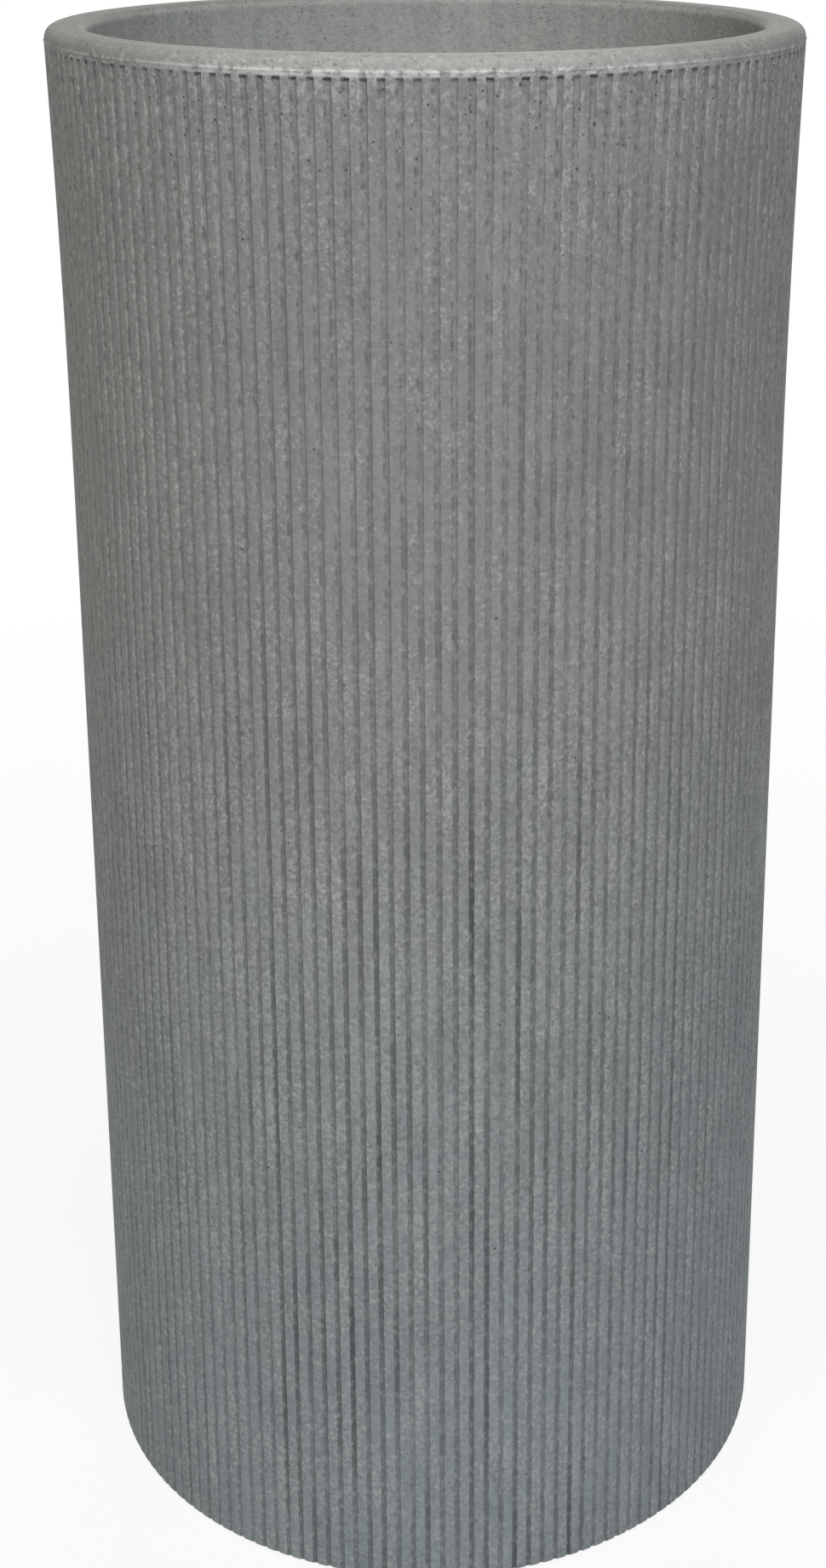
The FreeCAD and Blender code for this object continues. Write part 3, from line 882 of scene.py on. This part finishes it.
WARM_GREY = (0.233, 0.239, 0.227, 1)
COOL_GREY = (0.222, 0.257, 0.264, 1)
PALE_FLAKE = (0.46, 0.47, 0.45, 1)
# Nearly white: worn plastic, and a painted highlight on the rim's front
WORN_EDGE_AND_HIGHLIGHT = (0.66, 0.665, 0.65, 1)
# Groove dirt, painted shade in the grooves, and dark pits on the groove sides
GROOVE_DIRT_AND_SHADE = (0.062, 0.07, 0.07, 1)
# Pinholes, and the painted shadow at the grooves' upper ends
PINHOLE_AND_SHADOW = (0.03, 0.032, 0.032, 1)
RUBBED_GREY = (0.16, 0.16, 0.165, 1)
RUBBER = (0.02, 0.02, 0.02, 1)
RUBBER_BLOOM = (0.06, 0.06, 0.058, 1)
CLEAR = (0.85, 0.88, 0.88, 1)
CLEAR_SCRATCH = (0.95, 0.96, 0.96, 1)

# Colour, colour where rubbed, grains in a metre, strength of scuffs, least and greatest roughness
PLASTICS = {
    "plug_plastic": ((0.03, 0.03, 0.032, 1), RUBBED_GREY, 1700.0, 0.5, 0.36, 0.5),
    "liner_plastic": ((0.035, 0.036, 0.038, 1), RUBBED_GREY, 1100.0, 0.35, 0.4, 0.58),
    "handle_plastic": ((0.06, 0.062, 0.066, 1), RUBBED_GREY, 1500.0, 0.6, 0.34, 0.5),
    "grid_plastic": ((0.045, 0.05, 0.055, 1), RUBBED_GREY, 1300.0, 0.45, 0.38, 0.55),
    "tube_plastic": ((0.05, 0.055, 0.06, 1), RUBBED_GREY, 1600.0, 0.4, 0.32, 0.48),
    "float_plastic": ((0.8, 0.8, 0.78, 1), (0.68, 0.67, 0.63, 1), 1800.0, 0.6, 0.22, 0.36),
    "signal_plastic": ((0.6, 0.03, 0.02, 1), (0.7, 0.14, 0.1, 1), 1800.0, 0.4, 0.18, 0.3),
}


def feed(tree, made, inputs):
    """Sets a node's inputs by name, each to a value or to another node's output."""
    for name, value in inputs.items():
        if isinstance(value, bpy.types.NodeSocket):
            tree.links.new(value, made.inputs[name])
        else:
            made.inputs[name].default_value = value


def node(tree, kind, inputs=None, **settings):
    """New node with its settings made and its inputs fed."""
    made = tree.nodes.new(kind)
    for name, value in settings.items():
        setattr(made, name, value)
    feed(tree, made, inputs or {})
    return made


def maths(tree, operation, first, second=0.0, third=0.0):
    return node(tree, "ShaderNodeMath", {0: first, 1: second, 2: third}, operation=operation).outputs[0]


def times(tree, first, *others):
    """Product of several values."""
    for other in others:
        first = maths(tree, "MULTIPLY", first, other)
    return first


def remap(tree, value, low, high, to_low=0.0, to_high=1.0):
    """Clamped change of range."""
    inputs = {"Value": value, "From Min": low, "From Max": high, "To Min": to_low, "To Max": to_high}
    return node(tree, "ShaderNodeMapRange", inputs).outputs[0]


def mix(tree, factor, first, second, blend="MIX"):
    """Mix of two colours."""
    made = node(tree, "ShaderNodeMix", {0: factor, 6: first, 7: second}, data_type="RGBA", blend_type=blend)
    return made.outputs[2]


def noise(tree, place, scale, detail=2.0, roughness=0.5, distortion=0.0):
    form = {"Detail": detail, "Roughness": roughness, "Distortion": distortion}
    return node(tree, "ShaderNodeTexNoise", {"Vector": place, "Scale": scale, **form}).outputs["Fac"]


def stretched(tree, place, scale):
    """Place scaled by its own amount along each axis."""
    return node(tree, "ShaderNodeMapping", {"Vector": place, "Scale": scale}).outputs[0]


def bump(tree, height, distance, strength):
    inputs = {"Height": height, "Distance": distance, "Strength": strength}
    return node(tree, "ShaderNodeBump", inputs).outputs[0]


def new_group(name, inputs, outputs):
    """Empty shader node group, which takes a place and named values and gives named values."""
    group = bpy.data.node_groups.new(name, "ShaderNodeTree")
    group.interface.new_socket("Place", in_out="INPUT", socket_type="NodeSocketVector")
    for labels, way in ((inputs, "INPUT"), (outputs, "OUTPUT")):
        for label in labels:
            group.interface.new_socket(label, in_out=way, socket_type="NodeSocketFloat")
    return group, group.nodes.new("NodeGroupInput").outputs, group.nodes.new("NodeGroupOutput")


def use_group(tree, group, place, **inputs):
    """Outputs of a group at a place, with its values given by name."""
    return node(tree, "ShaderNodeGroup", {"Place": place, **inputs}, node_tree=group).outputs


def flakes_group():
    """Irregular flakes where a fine noise peaks, denser inside drifting patches."""
    group, given, result = new_group("flakes", ("Size", "Cover", "Softness"), ("Mask",))
    place = given["Place"]
    scale = maths(group, "DIVIDE", 1.0, given["Size"])
    fine = noise(group, place, scale, 3.0, 0.62, 0.4)
    drift = noise(group, stretched(group, place, (1, 1, 0.35)), times(group, scale, 0.16))
    level = maths(group, "MULTIPLY_ADD", drift, 0.35, fine)
    start = maths(group, "SUBTRACT", 1.0, given["Cover"])
    feed(group, result, {"Mask": remap(group, level, start, maths(group, "ADD", start, given["Softness"]))})
    return group


def pinholes_group():
    """Small round holes: one cell in so many has one, and sizes differ."""
    group, given, result = new_group("pinholes", ("Spacing", "Share", "Size"), ("Mask",))
    scale = maths(group, "DIVIDE", 1.0, given["Spacing"])
    cells = node(group, "ShaderNodeTexVoronoi", {"Vector": given["Place"], "Scale": scale})
    pick = node(group, "ShaderNodeSeparateColor", {"Color": cells.outputs["Color"]})
    kept = maths(group, "LESS_THAN", pick.outputs[0], given["Share"])
    reach = times(group, given["Size"], maths(group, "ADD", 0.3, pick.outputs[1]))
    inside = remap(group, cells.outputs["Distance"], reach, 0.0)
    edge = maths(group, "MINIMUM", times(group, inside, 2.5), 1.0)
    feed(group, result, {"Mask": times(group, edge, kept)})
    return group


def mottle_group():
    """Uneven tone of a cast surface: broad clouds, patches drawn out along the height, and fine grain."""
    group, given, result = new_group("mottle", ("Clouds", "Patches", "Grain"), ("Tone", "Warmth", "Fine"))
    place = given["Place"]
    clouds = noise(group, place, 6.0, 3.0, 0.55)
    patches = noise(group, stretched(group, place, (1, 1, 0.2)), 115.0, 2.0, 0.55)
    grain = noise(group, place, 360.0, 3.0, 0.7)
    tone = 1.0
    for value, amount in ((clouds, "Clouds"), (patches, "Patches"), (grain, "Grain")):
        tone = maths(group, "MULTIPLY_ADD", maths(group, "SUBTRACT", value, 0.5), given[amount], tone)
    elsewhere = node(group, "ShaderNodeVectorMath", {0: place, 1: (3.1, 1.7, 0.6)}, operation="ADD")
    warmth = noise(group, elsewhere.outputs[0], 55.0, 4.0, 0.7)
    feed(group, result, {"Tone": tone, "Warmth": warmth, "Fine": grain})
    return group


def moulding_group():
    """Skin of moulded plastic: flow clouds, a fine spark-eroded grain, and light scuffs."""
    group, given, result = new_group("moulding", ("Grain", "Scuffs"), ("Tone", "Scuff", "Relief"))
    place = given["Place"]
    flow = noise(group, stretched(group, place, (1, 1, 0.3)), 16.0, 3.0, 0.6, 0.8)
    grain = noise(group, place, given["Grain"], 2.0, 0.6)
    speckle = remap(group, grain, 0.3, 0.7, -0.08, 0.08)
    tone = maths(group, "ADD", remap(group, flow, 0.3, 0.7, 0.85, 1.1), speckle)
    lines = noise(group, stretched(group, place, (30, 30, 4)), 14.0, 3.0, 0.7, 0.6)
    patches = noise(group, place, 20.0)
    scuff = times(group, remap(group, lines, 0.6, 0.72), remap(group, patches, 0.5, 0.7), given["Scuffs"])
    feed(group, result, {"Tone": tone, "Scuff": scuff, "Relief": grain})
    return group


def new_material(name):
    """Node material with its plain shader, and the place on the piece that patterns follow."""
    material = bpy.data.materials.new(name)
    material.use_nodes = True
    finishes[name] = material
    tree = material.node_tree
    return tree, tree.nodes["Principled BSDF"], node(tree, "ShaderNodeTexCoord").outputs["Object"]


def shell_places(tree, place):
    """Where a point of the shell lies: height, radius, side, front, and its place in its groove."""
    axes = node(tree, "ShaderNodeSeparateXYZ", {"Vector": place}).outputs
    squared = maths(tree, "MULTIPLY_ADD", axes["X"], axes["X"], maths(tree, "POWER", axes["Y"], 2.0))
    out = maths(tree, "SQRT", squared)
    turns = maths(tree, "DIVIDE", maths(tree, "ARCTAN2", axes["Y"], axes["X"]), RIB_PITCH)
    share = maths(tree, "SUBTRACT", maths(tree, "FRACT", turns), 0.5)
    return {
        "height": axes["Z"],
        "out": out,
        "outside": maths(tree, "GREATER_THAN", out, MOUTH_RADIUS + RIM_WIDTH / 2),
        "front": remap(tree, axes["Y"], -0.12, -0.185),
        "across": times(tree, out, RIB_PITCH, share),
        "depth": node(tree, "ShaderNodeAttribute", attribute_name="groove").outputs["Fac"],
        "dirt": node(tree, "ShaderNodeAttribute", attribute_name="groove_dirt_and_shade").outputs["Fac"],
    }


def stone_grey(tree, spot, tones):
    """Mottled grey, cooler low down; paler in the mouth and on the rim's front, partly as painted light, and
    paler low on the wall, most at the front, as painted light.
    """
    height = spot["height"]
    inner = remap(tree, spot["out"], MOUTH_RADIUS + 2 * MM, MOUTH_RADIUS + 0.5 * MM)
    coolness = maths(tree, "MAXIMUM", remap(tree, height, 0.52, 0.08), times(tree, inner, 0.2))
    drift = remap(tree, tones["Warmth"], 0.3, 0.7, -0.2, 0.2)
    grey = mix(tree, maths(tree, "ADD", coolness, drift), WARM_GREY, COOL_GREY)
    # Paler inside the mouth: partly its own tone, partly painted light on the inside wall.
    inside_tone_and_light = maths(tree, "MULTIPLY_ADD", inner, 0.4, 1.0)
    # The top of the rim's front painted paler: partly worn, partly painted light.
    on_top = remap(tree, height, POT_TOP - 7 * MM, POT_TOP - 5 * MM)
    paler = maths(tree, "MULTIPLY_ADD", times(tree, on_top, spot["front"]), 0.43, inside_tone_and_light)
    # Painted light: rubbed makes the lower wall up to a tenth paler, most at the front and least at the
    # sides.
    front_light_share = remap(tree, spot["front"], 0.0, 1.0, 0.3, 1.0)
    rubbed = maths(tree, "MULTIPLY_ADD", remap(tree, height, 0.64, 0.48, 0.0, 0.1), front_light_share, 1.0)
    return mix(tree, 1.0, grey, times(tree, tones["Tone"], paler, rubbed), "MULTIPLY")


def groove_dirt_and_shade(tree, spot, colour, waver, patches):
    """Darker groove floors, partly dirt and partly painted shade, strongest in front; a painted shade line
    in one corner and a painted shadow at each groove's upper end, under the rim band.
    """
    height = spot["height"]
    half_floor = remap(tree, height, GROOVE_TOP - WIDENING_HEIGHT, GROOVE_TOP, 1.35 * MM, 1.5 * MM)
    wander = maths(tree, "SUBTRACT", waver, 0.5)
    across = maths(tree, "MULTIPLY_ADD", wander, 1.7 * MM, spot["across"])
    past_floor = maths(tree, "SUBTRACT", maths(tree, "ABSOLUTE", across), half_floor)
    from_corner = maths(tree, "ABSOLUTE", maths(tree, "SUBTRACT", across, half_floor))
    # Darker groove floors: partly dirt, partly painted shade, graded by height and strongest in front.
    floor_darkening = remap(tree, height, 0.76, 0.35, 0.14, 0.68)
    on_floor = times(tree, remap(tree, past_floor, 0.25 * MM, -0.25 * MM), floor_darkening)
    # Painted shade: a dark line in one corner of each groove.
    corner_shade = times(tree, remap(tree, from_corner, 0.5 * MM, 0.1 * MM), 0.5)
    sunk = remap(tree, spot["depth"], 0.1, 0.4)
    stronger_in_front = remap(tree, spot["front"], 0.0, 1.0, 0.5, 1.0)
    uneven = times(tree, maths(tree, "MULTIPLY_ADD", spot["dirt"], 0.5, 0.62), patches)
    cover = times(tree, maths(tree, "MAXIMUM", on_floor, corner_shade), sunk, stronger_in_front, uneven)
    colour = mix(tree, cover, colour, GROOVE_DIRT_AND_SHADE)
    # Painted shadow: each groove's upper end darkened, under the overhang of the rim band.
    ragged = maths(tree, "MULTIPLY_ADD", wander, 3 * MM, height)
    end_shadow = remap(tree, ragged, GROOVE_TOP - 2.0 * MM, GROOVE_TOP - 1.2 * MM)
    end_share = remap(tree, spot["dirt"], 0.0, 0.6, 0.35, 1.0)
    return mix(tree, times(tree, end_shadow, sunk, stronger_in_front, end_share), colour, PINHOLE_AND_SHADOW)


def flaked_crests(tree, spot, colour, pale):
    """Pale flakes on the rib crests, over the edges of the grooves, and most on the front of the rim, where
    they are partly painted light.
    """
    on_rim = maths(tree, "GREATER_THAN", spot["height"], GROOVE_TOP + 4 * MM)
    wall_share = remap(tree, spot["outside"], 0.0, 1.0, 0.2, 0.55)
    # Most flakes on the rim's front: partly worn, partly painted light.
    exposed = maths(tree, "MAXIMUM", wall_share, times(tree, on_rim, spot["front"]))
    crest = remap(tree, spot["depth"], 0.9, 0.3)
    return mix(tree, times(tree, pale, exposed, crest), colour, PALE_FLAKE)


def chipped_edges(tree, spot, colour, waver):
    """Pale and dark stretches along the groove sides, which break the line between rib and groove."""
    side = times(tree, spot["depth"], maths(tree, "SUBTRACT", 1.0, spot["depth"]), 4.0)
    pale = times(tree, side, remap(tree, waver, 0.5, 0.64, 0.0, 0.4))
    higher = remap(tree, spot["height"], 0.45, 0.78, 0.35, 1.0)
    pitted = times(tree, side, remap(tree, waver, 0.46, 0.34, 0.0, 0.7), higher)
    return mix(tree, pitted, mix(tree, pale, colour, PALE_FLAKE), GROOVE_DIRT_AND_SHADE)


def worn_band_and_highlight(tree, spot, colour, rubbed, chipped):
    """Nearly white plastic round the ridge on the front of the rim's outer face, partly worn and partly a
    painted highlight, with worn chips down the ribs' ends.
    """
    from_ridge = maths(tree, "SUBTRACT", spot["height"], POT_TOP - RIDGE_DROP)
    below = remap(tree, from_ridge, 2.4 * MM, 0.6 * MM)
    # Round the ridge on the rim's front: partly worn, partly a painted highlight.
    face = times(tree, remap(tree, from_ridge, -3 * MM, -1.2 * MM), spot["front"], rubbed, 0.9)
    crest = remap(tree, spot["depth"], 0.5, 0.1)
    ends = times(tree, remap(tree, from_ridge, -40 * MM, -5 * MM), crest, chipped, 0.36)
    wear_and_highlight = times(tree, maths(tree, "MAXIMUM", face, ends), below, spot["outside"])
    return mix(tree, wear_and_highlight, colour, WORN_EDGE_AND_HIGHLIGHT)


def stone_plastic(mottle, flakes, pinholes):
    """Matt moulded plastic with a stone look: mottled grey, pale flakes on ribs, dirt and painted shade in
    grooves, and painted light on the rim's front and in the mouth.
    """
    tree, shader, place = new_material("stone_plastic")
    spot = shell_places(tree, place)
    height = spot["height"]
    coarser_below = remap(tree, height, 0.56, 0.46, 0.9, 1.45)
    coarser = maths(tree, "MINIMUM", coarser_below, remap(tree, height, 0.3, 0.1, 1.45, 1.1))
    tones = use_group(tree, mottle, place, Clouds=0.24, Patches=0.42, Grain=coarser)
    cover = remap(tree, height, 0.6, 0.45, 0.27, 0.3)
    pale = use_group(tree, flakes, place, Size=0.0023, Cover=cover, Softness=0.12)["Mask"]
    rubbed = use_group(tree, flakes, place, Size=0.0045, Cover=0.45, Softness=0.2)["Mask"]
    chipped = use_group(tree, flakes, place, Size=0.0036, Cover=0.33, Softness=0.14)["Mask"]
    near_rim = remap(tree, height, 0.745, 0.788, 0.01, 0.45)
    clusters = remap(tree, noise(tree, place, 45.0), 0.4, 0.62, 0.25, 1.3)
    share = times(tree, near_rim, clusters)
    pit = use_group(tree, pinholes, place, Spacing=0.0024, Share=share, Size=0.27)["Mask"]
    waver = noise(tree, stretched(tree, place, (1, 1, 0.7)), 330.0, 2.0, 0.65)
    patches = remap(tree, noise(tree, stretched(tree, place, (1, 1, 0.15)), 60.0), 0.3, 0.7, 0.5, 1.35)

    colour = stone_grey(tree, spot, tones)
    colour = groove_dirt_and_shade(tree, spot, colour, waver, patches)
    colour = flaked_crests(tree, spot, colour, pale)
    colour = chipped_edges(tree, spot, colour, waver)
    colour = worn_band_and_highlight(tree, spot, colour, rubbed, chipped)
    on_wall = times(tree, maths(tree, "LESS_THAN", height, GROOVE_TOP), spot["outside"])
    colour = mix(tree, times(tree, pit, remap(tree, on_wall, 0.0, 1.0, 0.25, 0.75)), colour, PINHOLE_AND_SHADOW)
    roughness = remap(tree, tones["Fine"], 0.3, 0.7, 0.62, 0.82)
    relief = maths(tree, "SUBTRACT", maths(tree, "MULTIPLY_ADD", pale, 0.4, tones["Fine"]), pit)
    normal = bump(tree, relief, 0.4 * MM, 0.9)
    shader.inputs["Specular IOR Level"].default_value = 0.35
    feed(tree, shader, {"Base Color": colour, "Roughness": roughness, "Normal": normal})


def moulded_plastic(name, moulding, colour, rubbed, grain, scuffs, smooth, rough):
    """Moulded plastic in a colour, with another colour where it is rubbed."""
    tree, shader, place = new_material(name)
    skin = use_group(tree, moulding, place, Grain=grain, Scuffs=scuffs)
    toned = mix(tree, 1.0, colour, skin["Tone"], "MULTIPLY")
    worn = mix(tree, skin["Scuff"], toned, rubbed)
    roughness = remap(tree, skin["Tone"], 0.8, 1.15, rough, smooth)
    normal = bump(tree, skin["Relief"], 0.1 * MM, 0.6)
    feed(tree, shader, {"Base Color": worn, "Roughness": roughness, "Normal": normal})


def seal_rubber(moulding, flakes):
    """Black rubber with a dull bloom in patches."""
    tree, shader, place = new_material("seal_rubber")
    skin = use_group(tree, moulding, place, Grain=2600.0, Scuffs=0.2)
    bloom = use_group(tree, flakes, place, Size=0.003, Cover=0.35, Softness=0.3)["Mask"]
    toned = mix(tree, 1.0, RUBBER, skin["Tone"], "MULTIPLY")
    dulled = mix(tree, times(tree, bloom, 0.5), toned, RUBBER_BLOOM)
    roughness = remap(tree, bloom, 0.0, 1.0, 0.6, 0.85)
    normal = bump(tree, skin["Relief"], 0.06 * MM, 0.6)
    feed(tree, shader, {"Base Color": dulled, "Roughness": roughness, "Normal": normal})


def clear_plastic(moulding):
    """Clear window plastic with fine scratches."""
    tree, shader, place = new_material("clear_plastic")
    scuff = use_group(tree, moulding, place, Grain=900.0, Scuffs=1.0)["Scuff"]
    scratched = mix(tree, scuff, CLEAR, CLEAR_SCRATCH)
    roughness = remap(tree, scuff, 0.0, 1.0, 0.03, 0.3)
    shader.inputs["Transmission Weight"].default_value = 1.0
    shader.inputs["IOR"].default_value = 1.49
    feed(tree, shader, {"Base Color": scratched, "Roughness": roughness})


# Stage, light and camera

FLOOR_SIZE = 40.0
AROUND_LIGHT = 0.1  # strength of the soft light from all sides
LAMPS = (  # name, place, aim, size, power, colour
    ("key", (0.9, -2.2, 1.9), (0, 0, 0.4), 0.8, 22.5, (0.83, 0.85, 1)),
    ("high", (0, -1.0, 2.6), (0, 0, 0.6), 1.2, 30.5, (1, 0.957, 0.85)),
    ("fill", (-1.2, -2.1, 0.85), (0, 0, 0.4), 1.6, 9.6, (1, 1, 1)),
    ("back", (0.2, 3.0, 0.8), (0, 0, 0.35), 1.6, 26, (1, 1, 1)),
)
CAMERA_PLACE = (0.0, -1.2456, 0.9006)
CAMERA_TILT = 0.2703  # radians down from level
CAMERA_PAN = -0.0224


def add_holder(name, data):
    """Object in the scene for a lamp or a camera."""
    holder = bpy.data.objects.new(name, data)
    bpy.context.scene.collection.objects.link(holder)
    return holder


def seen_directly(tree):
    """One for rays from the camera and for what gloss and clear plastic show, otherwise nought."""
    path = node(tree, "ShaderNodeLightPath").outputs
    mirrored = maths(tree, "MAXIMUM", path["Is Glossy Ray"], path["Is Transmission Ray"])
    return maths(tree, "MAXIMUM", path["Is Camera Ray"], mirrored)


def white_floor():
    """Wide floor that looks white, and keeps a trace of the planter's shadow close by."""
    mesh = bmesh.new()
    bmesh.ops.create_grid(mesh, x_segments=1, y_segments=1, size=FLOOR_SIZE / 2)
    floor = new_object("floor", mesh)
    tree, shader, place = new_material("white_floor")
    feed(tree, shader, {"Base Color": (0.82, 0.82, 0.82, 1), "Roughness": 0.9})
    glow = node(tree, "ShaderNodeEmission", {"Color": (1, 1, 1, 1), "Strength": 1.0})
    away = node(tree, "ShaderNodeVectorMath", {0: place}, operation="LENGTH").outputs["Value"]
    share = times(tree, seen_directly(tree), remap(tree, away, 0.3, 1.5, 0.9, 1.0))
    blend = node(tree, "ShaderNodeMixShader", {0: share, 1: shader.outputs[0], 2: glow.outputs[0]})
    feed(tree, tree.nodes["Material Output"], {"Surface": blend.outputs[0]})
    floor.data.materials.append(finishes["white_floor"])


def studio_world():
    """Even soft light all round, behind a white background."""
    world = bpy.data.worlds.new("studio")
    bpy.context.scene.world = world
    world.use_nodes = True
    tree = world.node_tree
    strength = remap(tree, seen_directly(tree), 0.0, 1.0, AROUND_LIGHT, 1.0)
    feed(tree, tree.nodes["Background"], {"Color": (1, 1, 1, 1), "Strength": strength})


def soft_lamp(name, place, aim, size, power, colour):
    lamp = bpy.data.lights.new(name, "AREA")
    lamp.shape = "DISK"
    lamp.size = size
    lamp.energy = power
    lamp.color = colour
    holder = add_holder(name, lamp)
    holder.location = place
    holder.rotation_euler = (Vector(aim) - Vector(place)).to_track_quat("-Z", "Y").to_euler()


def photo_camera():
    """Camera where the photographer stood: in front, a little above the rim, looking down."""
    lens = bpy.data.cameras.new("photo_camera")
    lens.lens = 54.62
    lens.sensor_width = 36.0
    lens.shift_x = -0.0429
    lens.shift_y = -0.196
    lens.clip_end = 200.0
    camera = add_holder("photo_camera", lens)
    camera.location = CAMERA_PLACE
    camera.rotation_euler = (math.pi / 2 - CAMERA_TILT, 0.0, CAMERA_PAN)
    bpy.context.scene.camera = camera


def main():
    bpy.context.scene.view_settings.view_transform = "Standard"
    white_floor()
    studio_world()
    for lamp in LAMPS:
        soft_lamp(*lamp)
    photo_camera()

    flakes = flakes_group()
    moulding = moulding_group()
    stone_plastic(mottle_group(), flakes, pinholes_group())
    seal_rubber(moulding, flakes)
    clear_plastic(moulding)
    for name, looks in PLASTICS.items():
        moulded_plastic(name, moulding, *looks)

    planter_shell()
    drain_plug()
    drain_seal()
    planting_liner()
    liner_handle("right_pull_handle", "liner_handle_right", "handle_right", 0)
    liner_handle("left_pull_handle", "liner_handle_left", "handle_left", 180)
    root_grid()
    wick_basket()
    indicator_tube()
    indicator_cap()
    indicator_float()
    indicator_rod()


main()
